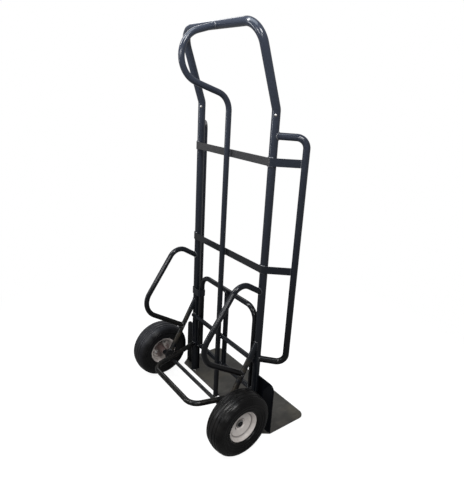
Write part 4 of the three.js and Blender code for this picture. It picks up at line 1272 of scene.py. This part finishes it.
# The toe brackets, against the rail and along the toe plate.
BRACKET_BEAD_AWAY = 0.0062
BRACKET_BEAD_BACK = 0.0016
BRACKET_BEAD_MARGIN = 0.003
TOE_BEAD_MARGIN = 0.004
TOE_BEAD_PROUD = 0.0005
bracket_beads = []
for away in (-BRACKET_BEAD_AWAY, BRACKET_BEAD_AWAY):
    x, y = RAIL_X + away, bracket_low.y - BRACKET_BEAD_BACK
    ends = (toe_top + BRACKET_BEAD_MARGIN, bracket_high.z - BRACKET_BEAD_MARGIN)
    bracket_beads.append(weld_bead([Vector((x, y, z)) for z in ends]))
for y in (bracket_low.y, bracket_high.y):
    ends = (bracket_low.x + TOE_BEAD_MARGIN, bracket_high.x - TOE_BEAD_MARGIN)
    bracket_beads.append(weld_bead([Vector((x, y, toe_top + TOE_BEAD_PROUD)) for x in ends]))
settle_pair(join(bracket_beads), "bracket_welds", bracket_enamel, "enamel", "frame")

# The nose lugs, and the straps on the rails and at the ends of their arms.
NOSE_LUG_BEAD_AHEAD = 0.006
STRAP_ARC = range(232, 330, 8)
STRAP_END_MARGIN = 0.001
for z in (HINGE_Z - NOSE_LUG_RADIUS, HINGE_Z + NOSE_LUG_RADIUS):
    ends = (nose_lug_low.y, RAIL_Y + NOSE_LUG_BEAD_AHEAD)
    lug_line = [Vector((nose_lug_high.x + SEAM_PROUD, y, z)) for y in ends]
    side_beads.append(weld_bead(lug_line, radius=FINE_BEAD))
strap_boxes = [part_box(f"{level_name}_strap") for level_name in ("upper", "lower")]
for low, high in strap_boxes:
    for z in (low.z - SEAM_PROUD, high.z + SEAM_PROUD):
        side_beads.append(weld_bead([
            on_rail(z) + Vector((math.cos(turn), math.sin(turn), 0)) * (RAIL_RADIUS + BEAD_PROUD)
            for turn in map(math.radians, STRAP_ARC)
        ]))
    ends = (low.z + STRAP_END_MARGIN, high.z - STRAP_END_MARGIN)
    side_beads.append(weld_bead([arm_end + UP * z for z in ends]))
settle_pair(join(side_beads), "frame_welds", weld_enamel, "enamel", "frame")

# The centre tube: at the top bar, the straps, the lower cross tube and the toe plate.
STRAP_TOUCH = 0.006
STRAP_TOUCH_AHEAD = 0.0103
NOTCH_ARC = range(-60, 61, 10)
HEEL_BEAD_AWAY = 0.0085
HEEL_BEAD_BACK = 0.001
HEEL_BEAD_MARGIN = 0.002
FOOT_BEAD = 0.0025
FOOT_BEAD_SUNK = 0.0022
grip_arm = (centre_corners[1] - centre_corners[0]).normalized()
middle_beads = [saddle_bead(
    centre_corners[0], SIDEWAYS, RAIL_RADIUS, centre_corners[0], grip_arm, CENTRE_RADIUS,
)]
for low, high in strap_boxes:
    for x in (-STRAP_TOUCH, STRAP_TOUCH):
        touch = [Vector((x, CENTRE_Y + STRAP_TOUCH_AHEAD, z)) for z in (low.z, high.z)]
        middle_beads.append(weld_bead(touch))
for lift in (-1, 1):
    middle_beads.append(weld_bead([
        on_cross_bar(CENTRE_RADIUS * math.sin(turn), CENTRE_Y + CENTRE_RADIUS * math.cos(turn), lift)
        for turn in map(math.radians, NOTCH_ARC)
    ]))
heel_sides = (-HEEL_BEAD_AWAY, HEEL_BEAD_AWAY)
heel_line = [Vector((x, toe_low.y - SEAM_PROUD, toe_top)) for x in heel_sides]
middle_beads.append(weld_bead(heel_line, radius=HEAVY_BEAD))
foot_centre = Vector((0, CENTRE_Y, centre_low.z - FOOT_BEAD_SUNK))
middle_beads.append(ring_bead(foot_centre, UP, CENTRE_RADIUS - FOOT_BEAD_SUNK, FOOT_BEAD))
for x in heel_sides:
    ends = (toe_low.z + HEEL_BEAD_MARGIN, toe_top)
    middle_beads.append(weld_bead([Vector((x, toe_low.y - HEEL_BEAD_BACK, z)) for z in ends]))
settle(join(middle_beads), "centre_welds", weld_enamel, "enamel", "frame")

# The bare tack, on the toe plate beside the left rail.
TACK_FROM_RAIL = (0.0135, -0.0095, 0.0014)
TACK_RUN = Vector((0.005, 0.004, 0))
tack_start = Vector((-RAIL_X, RAIL_Y, toe_top)) + Vector(TACK_FROM_RAIL)
tack = weld_bead([tack_start, tack_start + TACK_RUN], radius=HEAVY_BEAD)
settle(tack, "bare_tack_weld", zinc, "steel", "frame")

# The nose extension: its legs and middle bar on the hinge bar, and the bar under the arch.
hinge_hub = Vector((0, NOSE_Y, HINGE_Z))
top_hub = Vector((0, NOSE_Y, NOSE_TOP))
nose_joints = [(hinge_hub, HINGE_RADIUS, x, UP) for x in (-NOSE_X, 0, NOSE_X)]
nose_joints.append((top_hub, NOSE_RADIUS, 0, -UP))
nose_beads = [
    saddle_bead(hub, SIDEWAYS, radius, hub + SIDEWAYS * x, arm, NOSE_RADIUS, FINE_BEAD)
    for hub, radius, x, arm in nose_joints
]
settle(join(nose_beads), "nose_welds", weld_enamel, "enamel", "nose")
